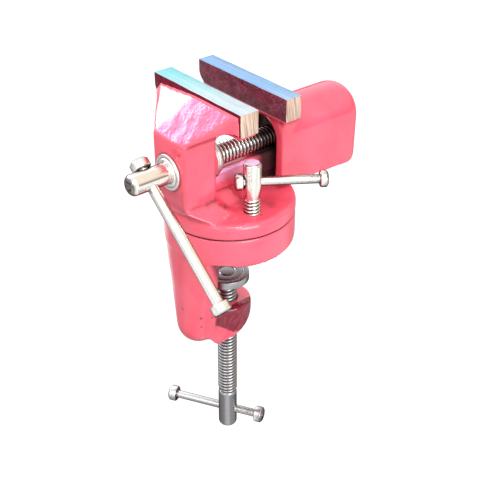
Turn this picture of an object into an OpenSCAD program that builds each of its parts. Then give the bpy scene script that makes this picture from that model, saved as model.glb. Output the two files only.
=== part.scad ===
// Mini bench vise with a swivel base, clamped to the edge of a bench.
// X runs along the jaws, +Y from the handle towards the sliding jaw, +Z up.
// The origin is where the swivel axis meets the face that rests on the bench.

/* [Jaws] */
// Length of the two steel jaw bars
jaw_w = 60; // [50:1:70]
// Height of a jaw bar
bar_h = 10.3; // [8:0.1:12]
// Thickness of the fixed jaw bar
fixed_bar_t = 9.5; // [8:0.1:11]
// Thickness of the moving jaw bar
moving_bar_t = 8.4; // [7:0.1:10]
// Height of the jaw tops over the bench
jaw_top_z = 76.7; // [74:0.1:82]
// Radius of the ground-off lower corner of each bar
bar_corner_r = 5.5; // [2:0.1:8]
// Gap between the bars as drawn
gap_now = 15.3; // [0.5:0.1:30]
// Y of the gripping face of the fixed bar
grip_y = -8.7; // [-9:0.1:-8]

/* [Jaw castings] */
// Half width of the fixed jaw's block
block_hw = 11.4; // [11:0.1:13]
// Depth of the fixed jaw's block along the spindle
block_d = 17.4; // [15:0.1:18]
// Y of the front face of the block
block_y0 = -33.4; // [-34:0.1:-33]
// Length of the round boss behind the block, round the spindle's bore
boss_back = 3; // [2:0.1:3.6]
// Height of the sloping skirt at the block's foot, over the disc
skirt_h = 7.2; // [5:0.1:9]
// How far the skirt spreads out at the disc's top
skirt_w = 7; // [5:0.1:8]
// Z of the block's top edge at the front, where the slope starts
block_top_z = 58.9; // [57:0.1:60]
// Half width of the moving jaw's hood
hood_hw = 14.6; // [14.2:0.1:14.8]
// Wall of the hood
hood_wall = 4.8; // [4:0.1:5.5]
// Distance of the hood's open front behind the bar's gripping face
hood_back = 12.8; // [11.6:0.1:13.2]
// Length of the hood
hood_len = 52.6; // [51:0.1:54]
// Height of the hood's crown
hood_top_z = 60.3; // [59:0.1:61]
// Gap under the hood
hood_lift = 0.6; // [0.4:0.1:1]
// How much higher the hood's bottom edge is at its open front
hood_rise = 2.2; // [1:0.1:3]

/* [Slide rail] */
// Half width of the rail
rail_hw = 5.6; // [5.2:0.1:6]
// Z of the rail's top
rail_top_z = 39.2; // [38.6:0.1:39.4]
// Height of the rail's head, over its undercut
rail_head_h = 9.7; // [8:0.1:11]
// Half width of the neck under the head
rail_neck_hw = 3.6; // [3:0.1:4.2]
// Y of the rail's free end
rail_end_y = 46.5; // [42:0.5:47]
// Side clearance between rail and sliding jaw
slide_gap = 0.15; // [0.1:0.05:0.3]

/* [Discs] */
// Radius of both discs of the swivel
disc_r = 31; // [30:0.1:31.4]
// Height of the lower disc
low_disc_h = 14.7; // [13:0.1:16]
// Height of the upper disc
up_disc_h = 7.4; // [6:0.1:8]
// Gap between the discs
face_gap = 0.05; // [0.02:0.01:0.1]

/* [Clamp frame] */
// Y of the leg's inner face, where the bench's edge stops
leg_y = -18.2; // [-19:0.1:-17]
// Half width of the leg at the disc
leg_hw_top = 16.5; // [15:0.1:18]
// Half width of the leg at the arm
leg_hw_low = 11.2; // [10.5:0.1:12]
// Height of the clamp's throat, from the bench face to the arm
throat = 36; // [34:0.5:37]
// Height of the arm beside the leg
arm_h = 22.4; // [21:0.1:24]
// Rise of the arm's underside from the leg to its tip
arm_rise = 16.4; // [8:0.2:17]
// Radius of the round nose where the leg meets the arm
nose_r = 10.6; // [9:0.1:11]
// Radius of the threaded boss at the arm's end
boss_r = 12; // [11:0.1:13]
// Height that the clamp pad is drawn below the bench face
pad_drop = 21; // [1:0.5:29]

/* [Screws] */
// Diameter of the spindle and of the clamp screw
screw_d = 10; // [9:0.5:10]
// Z of the spindle axis
spindle_z = 44.2; // [44:0.1:44.6]
// Y of the spindle's front end
spindle_y0 = -54.4; // [-56:0.1:-53]
// Y of the spindle's rear tip
spindle_y1 = 46.8; // [44:0.1:47]
// Diameter of the spindle's head
head_d = 9.7; // [9:0.1:10.5]
// Y of the tommy bar across the spindle's head
bar_y = -44.2; // [-45:0.1:-43]
// Diameter of the collar in front of the block
collar_d = 16.5; // [14:0.1:18]
// Y of the clamp screw's axis
clamp_y = -1.9; // [-3:0.1:0]
// Length of the clamp screw and its pad
clamp_l = 100; // [94:1:104]
// Length of the clamp screw's plain head
clamp_head_l = 24; // [20:0.5:26]
// Diameter of the clamp pad
pad_d = 22; // [18:0.5:24]
// Height of the clamp pad
pad_h = 6; // [5.8:0.1:6.4]

/* [Lock screw] */
// Distance of the lock screw's axis inside the disc's rim, along X
lock_inset = 11.8; // [11.2:0.1:11.9]
// Y of the lock screw
lock_y = -2.3; // [-3:0.1:-2]
// Thread diameter of the lock screw
lock_d = 7.6; // [7:0.1:8]
// Diameter of its head
lock_head_d = 8.2; // [8:0.1:8.6]
// Z of its top
lock_top_z = 46.5; // [45:0.1:48]

/* [Tommy bars] */
// Diameter of the spindle's bar
long_bar_d = 5.2; // [4.8:0.1:5.4]
// Distance between the knob centres on the spindle's bar
long_bar_l = 70.4; // [60:0.1:74]
// Diameter of the two smaller bars
short_bar_d = 4.2; // [3.8:0.1:4.4]
// Distance between the knob centres on the lock bar
lock_bar_l = 37.9; // [34:0.1:40]
// Distance between the knob centres on the clamp bar
clamp_bar_l = 49.6; // [44:0.1:54]
// Diameter of the long bar's knobs
long_knob_d = 8.8; // [8:0.1:9.4]
// Thickness of the long bar's knobs
long_knob_t = 4.6; // [4:0.1:5]
// Diameter of the smaller bars' knobs
short_knob_d = 7.8; // [7:0.1:8]
// Thickness of the smaller bars' knobs
short_knob_t = 3.8; // [3.4:0.1:4]
// Angle of the spindle's bar below the X axis
long_bar_angle = 39; // [0:1:90]
// Direction of the lock bar, from X towards Y
lock_bar_angle = 55.7; // [50:0.1:60]
// Direction of the clamp bar, from X towards Y
clamp_bar_angle = 30.4; // [0:0.1:90]

/* [Fits] */
// Radial clearance of the spindle in its block
journal_gap = 0.08; // [0.04:0.01:0.1]
// Radial clearance of the threads
thread_gap = 0.06; // [0.03:0.01:0.1]
// Radial clearance of the tommy bars in their heads
bar_gap = 0.08; // [0.04:0.01:0.1]

/* [Hidden] */
$fn = 64;

eps = 0.01;
thin = 0.1;
enamel = [0.93, 0.36, 0.42];
ground_steel = [0.80, 0.80, 0.78];
plated_steel = [0.86, 0.85, 0.83];
dark_steel = [0.45, 0.44, 0.43];

// Heights
seam_z = low_disc_h + face_gap;
disc_top_z = seam_z + up_disc_h;
bar_z0 = jaw_top_z - bar_h;

// Jaws
jaw_hw = jaw_w / 2;
fixed_back_y = grip_y - fixed_bar_t;
move_y = grip_y + gap_now;
move_back_y = move_y + moving_bar_t;
lip_back = 0.6;       // castings stay this far behind the gripping faces
lip_h = 1.2;          // painted lip under each bar
head_hw = jaw_hw - 1.2;
ridge_hw = jaw_hw - 4.5;
ridge_z = jaw_top_z - 3.4;
head_more_w = 0.9;    // the fixed head reaches almost to its bar's +X end
head_more_h = 2.4;    // and almost to the bar's top

// Block
block_y1 = block_y0 + block_d;
boss_y1 = block_y1 + boss_back;
skirt_z = disc_top_z + skirt_h;
skirt_y1 = 2.6;       // the skirt beside the rail ends short of the closed hood

// Hood
hood_y0 = move_y + hood_back;
hood_y1 = hood_y0 + hood_len;
hood_z0 = disc_top_z + hood_lift;
hood_round = 9;       // rounding of the hood's closed end
arch_z = hood_top_z - hood_hw;
cheek_y0 = hood_y0 + 4.2;

// Rail
rail_z0 = rail_top_z - rail_head_h;
trough_r = screw_d / 2 + 1.3;
rail_y0 = block_y1 - 1;

// Screws
screw_r = screw_d / 2;
head_r = head_d / 2;
thread_r = screw_r + thread_gap;
collar_t = 1.6;
ring_gap = 0.05;
collar_y1 = block_y0 - ring_gap;
washer_t = 1.1;
washer_y0 = boss_y1 + ring_gap;
ring_y0 = washer_y0 + washer_t + ring_gap;
ring_t = 1.7;
nut_y0 = hood_y0 + 4.6;
nut_l = 12;
nut_fit = 0.1;
nut_bottom_z = rail_top_z + 0.2;
saddle_r = trough_r - 0.2;
pin_r = 1.75;
pin_z = spindle_z + screw_r + pin_r + 0.7;
pin_x0 = -12.8;
pin_x1 = 11.4;
pin_y = nut_y0 + nut_l / 2;

// Pivot
pivot_r = 4.4;
pivot_thread_r = 4;
recess_r = 10.5;
recess_h = 7;
pivot_head_r = 6.5;
pivot_head_h = 4.4;
pivot_washer_t = 1.6;
pivot_washer_z = recess_h - ring_gap - pivot_washer_t;
pivot_top_z = disc_top_z - 0.9;

// Clamp
arm_z0 = -throat - arm_h;
nose_y = leg_y - 1.6;
nose_z = arm_z0 + 16;
arm_round = boss_r + 1;
pad_top_z = -pad_drop;
clamp_z0 = pad_top_z - clamp_l;
ball_r = 3.2;
ball_z = pad_top_z - 3.5;
neck_r = 2.2;
clamp_thread_z1 = pad_top_z - pad_h - 1.5;
clamp_head_z1 = clamp_z0 + clamp_head_l;
clamp_head_r = 4.6;
clamp_bar_z = clamp_z0 + 11;

// Lock screw
lock_x = disc_r - lock_inset;
lock_r = lock_d / 2;
lock_head_r = lock_head_d / 2;
lock_neck_z0 = disc_top_z + 6.4;
lock_neck_z1 = lock_neck_z0 + 6;
lock_bar_z = 37;
lock_tip_gap = 0.2;

// Tommy bars: how far the near knob's centre lies from the screw's axis
long_bar_in = head_r + long_knob_t / 2 + 0.1;
lock_bar_in = lock_head_r + short_knob_t / 2 + 0.1;
clamp_bar_out = 31.6;
clamp_knob_r = long_knob_d / 2 - 0.2;
ring_r = 8.7;

// A flat outline in X and Z, extruded along Y from y0 to y1
module along_y(y0, y1) {
    translate([0, y1, 0]) rotate([90, 0, 0]) linear_extrude(y1 - y0) children();
}

// A box given by its two corners
module box(a, b) {
    translate(a) cube(b - a);
}

// A ring or a disc on the Y axis of the spindle
module spindle_ring(y0, y1, r) {
    translate([0, y1, spindle_z]) rotate([90, 0, 0]) cylinder(r = r, h = y1 - y0);
}

// Moves a shape drawn along Z so that it lies along the spindle's bar
module on_long_bar() {
    translate([0, bar_y, spindle_z]) rotate([0, 90 + long_bar_angle, 0]) children();
}

// Moves a shape drawn along Z so that it lies along the lock bar
module on_lock_bar() {
    translate([lock_x, lock_y, lock_bar_z]) rotate([0, 0, lock_bar_angle]) rotate([0, 90, 0]) children();
}

// Moves a shape drawn along Z so that it lies along the clamp bar
module on_clamp_bar() {
    translate([0, clamp_y, clamp_bar_z]) rotate([0, 0, clamp_bar_angle]) rotate([0, 90, 0]) children();
}

// A bar between two knobs, along Z, with the first knob's centre at z0
module bar_rod(z0, l, r, knob_t) {
    translate([0, 0, z0 - knob_t / 2]) cylinder(r = r, h = l + knob_t);
}

// A turned knob with broken edges, bored for its rod, centred on z
module bar_knob(z, r, t, rod_r) {
    edge = 0.5;
    translate([0, 0, z]) difference() {
        union() {
            translate([0, 0, -t / 2 + edge]) cylinder(r = r, h = t - 2 * edge);
            translate([0, 0, -t / 2]) cylinder(r1 = r - edge, r2 = r, h = edge);
            translate([0, 0, t / 2 - edge]) cylinder(r1 = r, r2 = r - edge, h = edge);
        }
        translate([0, 0, -t]) cylinder(r = rod_r, h = 2 * t);
    }
}

// A plain screw along Z with a broken tip, from z0 up to z1
module screw_shank(z0, z1, r) {
    tip = 0.8;
    translate([0, 0, z0]) cylinder(r = r, h = z1 - tip - z0);
    translate([0, 0, z1 - tip]) cylinder(r1 = r, r2 = r - tip, h = tip);
}

// Horizontal slice of the leg: a flat back, straight sides and a round front
module leg_slice(z, hw, front_r) {
    translate([0, 0, z]) linear_extrude(thin) intersection() {
        circle(r = front_r, $fn = 48);
        translate([-hw, -40]) square([2 * hw, 40 + leg_y]);
    }
}

// The leg narrows from the disc to a round nose in front of the arm
module leg() {
    top_r = disc_r - 0.3;
    hull() {
        leg_slice(2.4, leg_hw_top, top_r);
        leg_slice(-3, leg_hw_top, top_r - 0.5);
        leg_slice(-15, leg_hw_top - 2.4, top_r - 1.9);
        leg_slice(-30, leg_hw_low, top_r - 3.7);
        translate([0, nose_y, nose_z]) sphere(r = nose_r, $fn = 40);
    }
}

// The arm under the throat: a round boss, round underneath, that gets thinner towards its tip
module arm() {
    y = clamp_y - boss_r;
    intersection() {
        translate([0, 0, arm_z0 - 1]) linear_extrude(arm_h + 2) union() {
            translate([0, clamp_y]) circle(r = boss_r);
            translate([-nose_r + 1, leg_y - 2]) square([2 * nose_r - 2, -leg_y]);
        }
        translate([-boss_r - 1, 0, 0]) rotate([90, 0, 90]) linear_extrude(2 * boss_r + 2)
            polygon([[leg_y - 2, -throat], [leg_y - 2, nose_z - 6], [y + 0.4, arm_z0 + 1], [y + 2, arm_z0],
                [clamp_y + boss_r, arm_z0 + arm_rise], [clamp_y + boss_r, -throat]]);
        along_y(leg_y - 3, clamp_y + boss_r + 1) union() {
            translate([0, arm_z0 + arm_round]) circle(r = arm_round);
            translate([-arm_round, arm_z0 + arm_round]) square([2 * arm_round, arm_h]);
        }
    }
}

// Disc of the base, with a rounded lower edge and a broken seam edge
module low_disc() {
    edge = 2;
    rim = 0.5;
    rotate_extrude($fn = 128) union() {
        square([disc_r - edge, low_disc_h]);
        translate([0, edge]) square([disc_r, low_disc_h - edge - rim]);
        translate([disc_r - edge, edge]) circle(r = edge);
        polygon([[0, low_disc_h - rim - eps], [disc_r, low_disc_h - rim - eps],
            [disc_r, low_disc_h - rim], [disc_r - rim, low_disc_h], [0, low_disc_h]]);
    }
}

module clamp_base() {
    relief = 1;
    color(enamel) difference() {
        union() {
            difference() {
                low_disc();
                box([-disc_r - 1, -disc_r - 1, -1], [disc_r + 1, leg_y + 1.2, relief]);
            }
            difference() {
                union() {
                    leg();
                    arm();
                }
                // The throat that the bench's edge goes into
                box([-disc_r, leg_y, -throat], [disc_r, disc_r, low_disc_h]);
            }
        }
        // Recess, with the pivot bolt's bore through its ceiling
        translate([0, 0, -eps]) cylinder(r = recess_r, h = recess_h + eps);
        cylinder(r = pivot_r + journal_gap, h = low_disc_h + 1);
        // Threaded hole of the clamp screw
        translate([0, clamp_y, arm_z0 - 5]) cylinder(r = thread_r, h = arm_h + 10);
    }
}

// The ball on the clamp screw, or with a larger radius its socket, with a small flat on top
module ball(r) {
    flat = 0.3;
    translate([0, 0, ball_z]) rotate_extrude() intersection() {
        circle(r = r);
        translate([0, -r]) square([r, 2 * r - flat]);
    }
}

module clamp_screw() {
    color(plated_steel) difference() {
        translate([0, clamp_y, 0]) union() {
            translate([0, 0, clamp_z0 + 0.8]) cylinder(r = clamp_head_r, h = clamp_head_l - 0.8);
            translate([0, 0, clamp_z0]) cylinder(r1 = clamp_head_r - 0.8, r2 = clamp_head_r, h = 0.8);
            screw_shank(clamp_head_z1, clamp_thread_z1, screw_r);
            translate([0, 0, clamp_thread_z1 - 1]) cylinder(r = neck_r, h = ball_z - clamp_thread_z1 + 1);
            ball(ball_r);
        }
        on_clamp_bar() translate([0, 0, -20]) cylinder(r = short_bar_d / 2 + bar_gap, h = 40);
    }
}

module clamp_pad() {
    mouth_r = neck_r + 0.6;
    edge = 0.8;
    color(plated_steel) translate([0, clamp_y, 0]) difference() {
        union() {
            translate([0, 0, pad_top_z - 4]) cylinder(r = pad_d / 2, h = 4);
            translate([0, 0, pad_top_z - 4 - edge]) cylinder(r1 = pad_d / 2 - edge, r2 = pad_d / 2, h = edge);
            translate([0, 0, pad_top_z - pad_h]) cylinder(r = ball_r + 2.8, h = pad_h - 1);
        }
        ball(ball_r + thread_gap);
        translate([0, 0, pad_top_z - pad_h - 1]) cylinder(r = mouth_r, h = 3);
    }
}

module clamp_bar() {
    color(plated_steel) on_clamp_bar() bar_rod(-clamp_bar_out, clamp_bar_l, short_bar_d / 2, short_knob_t);
}

module clamp_bar_knob_a() {
    color(plated_steel) on_clamp_bar() bar_knob(-clamp_bar_out, clamp_knob_r, long_knob_t, short_bar_d / 2);
}

module clamp_bar_knob_b() {
    color(plated_steel) on_clamp_bar()
        bar_knob(clamp_bar_l - clamp_bar_out, clamp_knob_r, long_knob_t, short_bar_d / 2);
}

// Upper disc, with a rounded rim and a broken seam edge
module up_disc() {
    edge = 2;
    rim = 0.5;
    translate([0, 0, seam_z]) rotate_extrude($fn = 128) union() {
        polygon([[0, 0], [disc_r - rim, 0], [disc_r, rim], [disc_r, rim + eps], [0, rim + eps]]);
        translate([0, rim]) square([disc_r, up_disc_h - rim - edge]);
        square([disc_r - edge, up_disc_h]);
        translate([disc_r - edge, up_disc_h - edge]) circle(r = edge);
    }
}

// Wide head of a jaw, mirrored by side: a thin lip under the bar and a slope behind it.
// Its +X end is wider by more_w and higher by more_h.
module head_rim(back_y, front_y, side, more_w = 0, more_h = 0) {
    y0 = min(back_y, front_y);
    x1 = head_hw + more_w;
    box([-head_hw, y0, bar_z0 - lip_h], [x1, max(back_y, front_y), bar_z0]);
    y1 = back_y - (side < 0 ? thin : 0);
    box([-head_hw, y1, bar_z0], [x1, y1 + thin, bar_z0 + 3]);
    box([-ridge_hw, y1, bar_z0], [ridge_hw, y1 + thin, ridge_z]);
    if (more_h > 0) box([0, y1, bar_z0], [x1 - 0.9, y1 + thin, ridge_z + more_h]);
}

// Skirt between two depths: from the disc's top it slopes up and in to half width w
module skirt(w, y0, y1, end, z) {
    hull() {
        box([-w - skirt_w, y0, disc_top_z - 2], [w + skirt_w, y1 + end, disc_top_z]);
        box([-w, y0, z - 1], [w, y1, z]);
    }
}

// The fixed jaw's block on its skirt, the boss behind it and its wide head, before the seat is cut
module fixed_casting() {
    intersection() {
        union() {
            box([-block_hw, block_y0, disc_top_z - 2], [block_hw, block_y1, block_top_z]);
            skirt(block_hw, block_y0, block_y1, skirt_w - 1, skirt_z);
            skirt(rail_hw - 0.6, block_y1 - 1, skirt_y1 - skirt_w, skirt_w, rail_z0 - 0.8);
        }
        // The foot stays inside the disc's rim and leans out to the block's front
        union() {
            translate([0, 0, disc_top_z - 3]) cylinder(r1 = disc_r - 4.8, r2 = disc_r + 12.2, h = 16);
            box([-block_hw, block_y0, disc_top_z + 12], [block_hw, block_y1, block_top_z]);
        }
    }
    spindle_ring(block_y1 - 1, boss_y1, ring_r + 0.3);
    hull() {
        box([-block_hw, block_y0, block_top_z - 0.6], [block_hw, block_y1, block_top_z]);
        head_rim(fixed_back_y, grip_y - lip_back, -1, head_more_w, head_more_h);
    }
}

// Outline of the rail, grown by a clearance
module rail_outline(gap = 0) {
    edge = 0.9;
    w = rail_hw + gap;
    n = rail_neck_hw + gap;
    z0 = rail_z0 - gap;
    z1 = rail_top_z + gap;
    polygon([[-n, disc_top_z - 1], [n, disc_top_z - 1], [n, z0], [w, z0], [w, z1 - edge],
        [w - edge, z1], [-w + edge, z1], [-w, z1 - edge], [-w, z0], [-n, z0]]);
}

module rail() {
    overhang_z = hood_z0;
    difference() {
        along_y(rail_y0, rail_end_y) rail_outline();
        spindle_ring(rail_y0 - 1, rail_end_y + 1, trough_r);
        // Room for the washer and the ring behind the block
        spindle_ring(boss_y1, ring_y0 + ring_t + 0.4, ring_r + 0.4);
        // The free end hangs clear behind the disc
        box([-rail_hw, disc_r - 2, 0], [rail_hw, rail_end_y + 1, overhang_z]);
    }
}

module swivel_body() {
    color(enamel) difference() {
        union() {
            up_disc();
            fixed_casting();
            rail();
        }
        // Seat of the jaw bar
        box([-jaw_hw - 1, fixed_back_y, bar_z0], [jaw_hw + 1, 0, jaw_top_z + 1]);
        // Bore of the spindle
        spindle_ring(block_y0 - 1, boss_y1 + 1, screw_r + journal_gap);
        // Threaded holes of the lock screw and the pivot bolt
        translate([lock_x, lock_y, seam_z - 1]) cylinder(r = lock_r + thread_gap, h = up_disc_h + 2);
        translate([0, 0, seam_z - 1]) cylinder(r = pivot_thread_r, h = pivot_top_z - seam_z + 1);
    }
}

// A jaw bar between two depths, its lower corner ground round at the -X end
module jaw_bar(y0, y1) {
    r = bar_corner_r;
    along_y(y0, y1) union() {
        translate([-jaw_hw + r, bar_z0]) square([jaw_w - r, bar_h]);
        translate([-jaw_hw, bar_z0 + r]) square([jaw_w, bar_h - r]);
        intersection() {
            translate([-jaw_hw + r, bar_z0 + r]) circle(r = r);
            translate([-jaw_hw, bar_z0]) square(r + eps);
        }
    }
}

module fixed_jaw_bar() {
    color(ground_steel) jaw_bar(fixed_back_y, grip_y);
}

module moving_jaw_bar() {
    color(ground_steel) jaw_bar(move_y, move_back_y);
}

module pivot_bolt() {
    color(dark_steel) {
        translate([0, 0, pivot_washer_z - ring_gap - pivot_head_h])
            cylinder(r = pivot_head_r, h = pivot_head_h);
        translate([0, 0, pivot_washer_z - 1]) cylinder(r = pivot_r, h = seam_z - pivot_washer_z + 1);
        translate([0, 0, seam_z - 1]) cylinder(r = pivot_thread_r, h = pivot_top_z - seam_z + 1);
    }
}

module pivot_washer() {
    color(dark_steel) translate([0, 0, pivot_washer_z]) difference() {
        cylinder(r = recess_r - 1, h = pivot_washer_t);
        translate([0, 0, -1]) cylinder(r = pivot_r + ring_gap, h = pivot_washer_t + 2);
    }
}

// Cross-section of the hood, drawn in from its outline by inset
module hood_outline(inset, z0) {
    hw = hood_hw - inset;
    translate([-hw, z0]) square([2 * hw, arch_z - z0]);
    translate([0, arch_z]) circle(r = hw);
}

// Closed end of the hood: a round edge over the arch, and round corners below it
module hood_end() {
    r = hood_round;
    y = hood_y1 - r;
    translate([0, y, arch_z]) rotate([-90, 0, 0]) rotate_extrude() union() {
        square([hood_hw - r, r]);
        intersection() {
            translate([hood_hw - r, 0]) circle(r = r);
            square([hood_hw, r]);
        }
    }
    intersection() {
        translate([0, 0, hood_z0]) linear_extrude(arch_z - hood_z0) union() {
            translate([-hood_hw + r, y - r]) square([2 * (hood_hw - r), 2 * r]);
            translate([-hood_hw, y - r]) square([2 * hood_hw, r]);
            for (side = [-1, 1]) translate([side * (hood_hw - r), y]) circle(r = r);
        }
        translate([-hood_hw - 1, 0, 0]) rotate([90, 0, 90]) linear_extrude(2 * hood_hw + 2) union() {
            translate([y - 2 * r, hood_z0]) square([2 * r, 60]);
            translate([y - 2 * r, hood_z0 + r]) square([3 * r, 60]);
            translate([y, hood_z0 + r]) circle(r = r);
        }
    }
}

module hood_solid() {
    along_y(hood_y0, hood_y1 - hood_round) hood_outline(0, hood_z0);
    hood_end();
}

// Wide head of the sliding jaw and the shoulder under it, before the bar's seat is cut
module moving_head() {
    inset = 0.15;
    shoulder_z = block_top_z - 2.4;
    hull() {
        head_rim(move_back_y, move_y + lip_back, 1);
        box([-hood_hw + inset, hood_y0 + 0.8, shoulder_z - 0.6], [hood_hw - inset, hood_y0 + 3, shoulder_z]);
        box([-block_hw, hood_y0 + 8, hood_top_z - 6], [block_hw, hood_y0 + 13, hood_top_z - 4]);
    }
    hull() {
        box([-hood_hw + inset, hood_y0 + 0.8, arch_z - 2], [hood_hw - inset, hood_y0 + 3, shoulder_z]);
        box([-block_hw + 1, hood_y0 + 8, arch_z - 2], [block_hw - 1, hood_y0 + 20, hood_top_z - 7]);
    }
}

// Space inside the hood, open in front and below, with the cheeks that clasp the rail left standing
module hood_space() {
    difference() {
        along_y(hood_y0 - 12, hood_y1 - hood_wall) hood_outline(hood_wall, hood_z0 - 1);
        difference() {
            box([-hood_hw, cheek_y0, hood_z0 - 2], [hood_hw, hood_y1, rail_top_z]);
            along_y(cheek_y0 - 1, hood_y1 + 1) rail_outline(slide_gap);
        }
    }
}

module moving_jaw() {
    color(enamel) difference() {
        union() {
            moving_head();
            hood_solid();
        }
        // Seat of the jaw bar
        box([-jaw_hw - 1, 0, bar_z0], [jaw_hw + 1, move_back_y, jaw_top_z + 1]);
        hood_space();
        // The bottom edge rises towards the open front
        translate([-hood_hw - 1, 0, 0]) rotate([90, 0, 90]) linear_extrude(2 * hood_hw + 2)
            polygon([[hood_y0 - 1, hood_z0 - 1], [hood_y1 - hood_round, hood_z0 - 1],
                [hood_y1 - hood_round, hood_z0], [hood_y0 - 1, hood_z0 + hood_rise]]);
        // Blind hole of the nut's pin, from the far side
        translate([-hood_hw - 1, pin_y, pin_z]) rotate([0, 90, 0])
            cylinder(r = pin_r, h = hood_hw + 1 + pin_x1 + 0.4);
    }
}

module spindle_nut() {
    color(dark_steel) difference() {
        union() {
            along_y(nut_y0, nut_y0 + nut_l) difference() {
                hood_outline(hood_wall + nut_fit, nut_bottom_z);
                translate([-hood_hw, 0]) square([2 * hood_hw, nut_bottom_z]);
            }
            spindle_ring(nut_y0, nut_y0 + nut_l, saddle_r);
        }
        spindle_ring(nut_y0 - 1, nut_y0 + nut_l + 1, thread_r);
        translate([-hood_hw, pin_y, pin_z]) rotate([0, 90, 0]) cylinder(r = pin_r, h = 2 * hood_hw);
    }
}

module nut_pin() {
    color(dark_steel) translate([pin_x0, pin_y, pin_z]) rotate([0, 90, 0])
        cylinder(r = pin_r, h = pin_x1 - pin_x0);
}

module spindle() {
    edge = 1;
    color(plated_steel) difference() {
        translate([0, 0, spindle_z]) rotate([-90, 0, 0]) union() {
            translate([0, 0, spindle_y0]) cylinder(r1 = head_r - edge, r2 = head_r, h = edge);
            translate([0, 0, spindle_y0 + edge])
                cylinder(r = head_r, h = collar_y1 - collar_t - spindle_y0 - edge + 0.5);
            screw_shank(collar_y1 - collar_t, spindle_y1, screw_r);
        }
        on_long_bar() translate([0, 0, -20]) cylinder(r = long_bar_d / 2 + bar_gap, h = 40);
    }
}

module spindle_collar() {
    color(plated_steel) difference() {
        spindle_ring(collar_y1 - collar_t, collar_y1, collar_d / 2);
        spindle_ring(collar_y1 - collar_t - 1, collar_y1 + 1, screw_r);
    }
}

module spindle_washer() {
    color(plated_steel) difference() {
        spindle_ring(washer_y0, washer_y0 + washer_t, ring_r);
        spindle_ring(washer_y0 - 1, washer_y0 + washer_t + 1, screw_r);
    }
}

module retaining_ring() {
    color(plated_steel) difference() {
        spindle_ring(ring_y0, ring_y0 + ring_t, ring_r - 0.3);
        spindle_ring(ring_y0 - 1, ring_y0 + ring_t + 1, screw_r);
    }
}

module spindle_bar() {
    color(plated_steel) on_long_bar() bar_rod(-long_bar_in, long_bar_l, long_bar_d / 2, long_knob_t);
}

module spindle_bar_knob_a() {
    color(plated_steel) on_long_bar() bar_knob(-long_bar_in, long_knob_d / 2, long_knob_t, long_bar_d / 2);
}

module spindle_bar_knob_b() {
    color(plated_steel) on_long_bar()
        bar_knob(long_bar_l - long_bar_in, long_knob_d / 2, long_knob_t, long_bar_d / 2);
}

module lock_screw() {
    tip_z = seam_z + lock_tip_gap - face_gap;
    color(plated_steel) difference() {
        translate([lock_x, lock_y, 0]) {
            translate([0, 0, tip_z]) cylinder(r = lock_r, h = lock_neck_z0 - tip_z);
            translate([0, 0, lock_neck_z0])
                cylinder(r1 = lock_head_r - 0.8, r2 = lock_head_r, h = lock_neck_z1 - lock_neck_z0);
            translate([0, 0, lock_neck_z1]) cylinder(r = lock_head_r, h = lock_top_z - lock_neck_z1 - 0.8);
            translate([0, 0, lock_top_z - 0.8]) cylinder(r1 = lock_head_r, r2 = lock_head_r - 0.8, h = 0.8);
        }
        on_lock_bar() translate([0, 0, -20]) cylinder(r = short_bar_d / 2 + bar_gap, h = 40);
    }
}

module lock_bar() {
    color(plated_steel) on_lock_bar() bar_rod(-lock_bar_in, lock_bar_l, short_bar_d / 2, short_knob_t);
}

module lock_bar_knob_a() {
    color(plated_steel) on_lock_bar() bar_knob(-lock_bar_in, short_knob_d / 2, short_knob_t, short_bar_d / 2);
}

module lock_bar_knob_b() {
    color(plated_steel) on_lock_bar()
        bar_knob(lock_bar_l - lock_bar_in, short_knob_d / 2, short_knob_t, short_bar_d / 2);
}

clamp_base();
clamp_screw();
clamp_pad();
clamp_bar();
clamp_bar_knob_a();
clamp_bar_knob_b();
swivel_body();
fixed_jaw_bar();
pivot_bolt();
pivot_washer();
moving_jaw();
moving_jaw_bar();
spindle_nut();
nut_pin();
spindle();
spindle_collar();
spindle_washer();
retaining_ring();
spindle_bar();
spindle_bar_knob_a();
spindle_bar_knob_b();
lock_screw();
lock_bar();
lock_bar_knob_a();
lock_bar_knob_b();
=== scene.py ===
"""Looks of a mini bench vise: coral enamel on cast iron, ground steel jaws, bright screws and T-bars."""
import math

import bmesh
import bpy
import numpy as np
from mathutils import Matrix, Vector


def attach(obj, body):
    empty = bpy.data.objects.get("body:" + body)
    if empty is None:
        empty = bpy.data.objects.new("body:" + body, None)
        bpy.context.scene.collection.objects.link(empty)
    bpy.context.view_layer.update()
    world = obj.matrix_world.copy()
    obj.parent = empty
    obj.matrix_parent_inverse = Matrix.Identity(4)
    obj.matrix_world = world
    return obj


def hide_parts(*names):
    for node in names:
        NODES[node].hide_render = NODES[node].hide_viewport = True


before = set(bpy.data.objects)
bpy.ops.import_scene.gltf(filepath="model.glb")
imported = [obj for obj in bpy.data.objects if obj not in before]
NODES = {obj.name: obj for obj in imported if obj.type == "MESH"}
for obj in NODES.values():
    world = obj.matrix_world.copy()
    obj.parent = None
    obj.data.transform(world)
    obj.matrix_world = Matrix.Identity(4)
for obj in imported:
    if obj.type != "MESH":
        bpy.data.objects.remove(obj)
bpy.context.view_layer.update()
MM = 0.001

# Places and sizes in millimetres, in the CAD's frame
# Seats of the jaw bars, and the bosses in front of and behind the block
BAR_Z0, FIXED_BACK, MOVE_BACK = 66.4, -18.2, 15.0
BOSS_FRONT, BOSS_BACK = -33.4, -13.0
# The two discs meet at the seam, and their flat faces end a little inside the rims
SEAM, BASE_TOP, DISC_R, DISC_FLAT_R = 14.75, 14.7, 31.0, 30.2
# Spindle and the two large screws' thread
SPINDLE_Z, SPINDLE_Y0, SPINDLE_Y1, BAR_Y = 44.2, -54.4, 46.8, -44.2
HEAD_R, COLLAR_Y0 = 4.85, -35.05
SCREW_R, SCREW_ROOT, LEAD = 5.0, 4.25, 2.0
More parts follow.
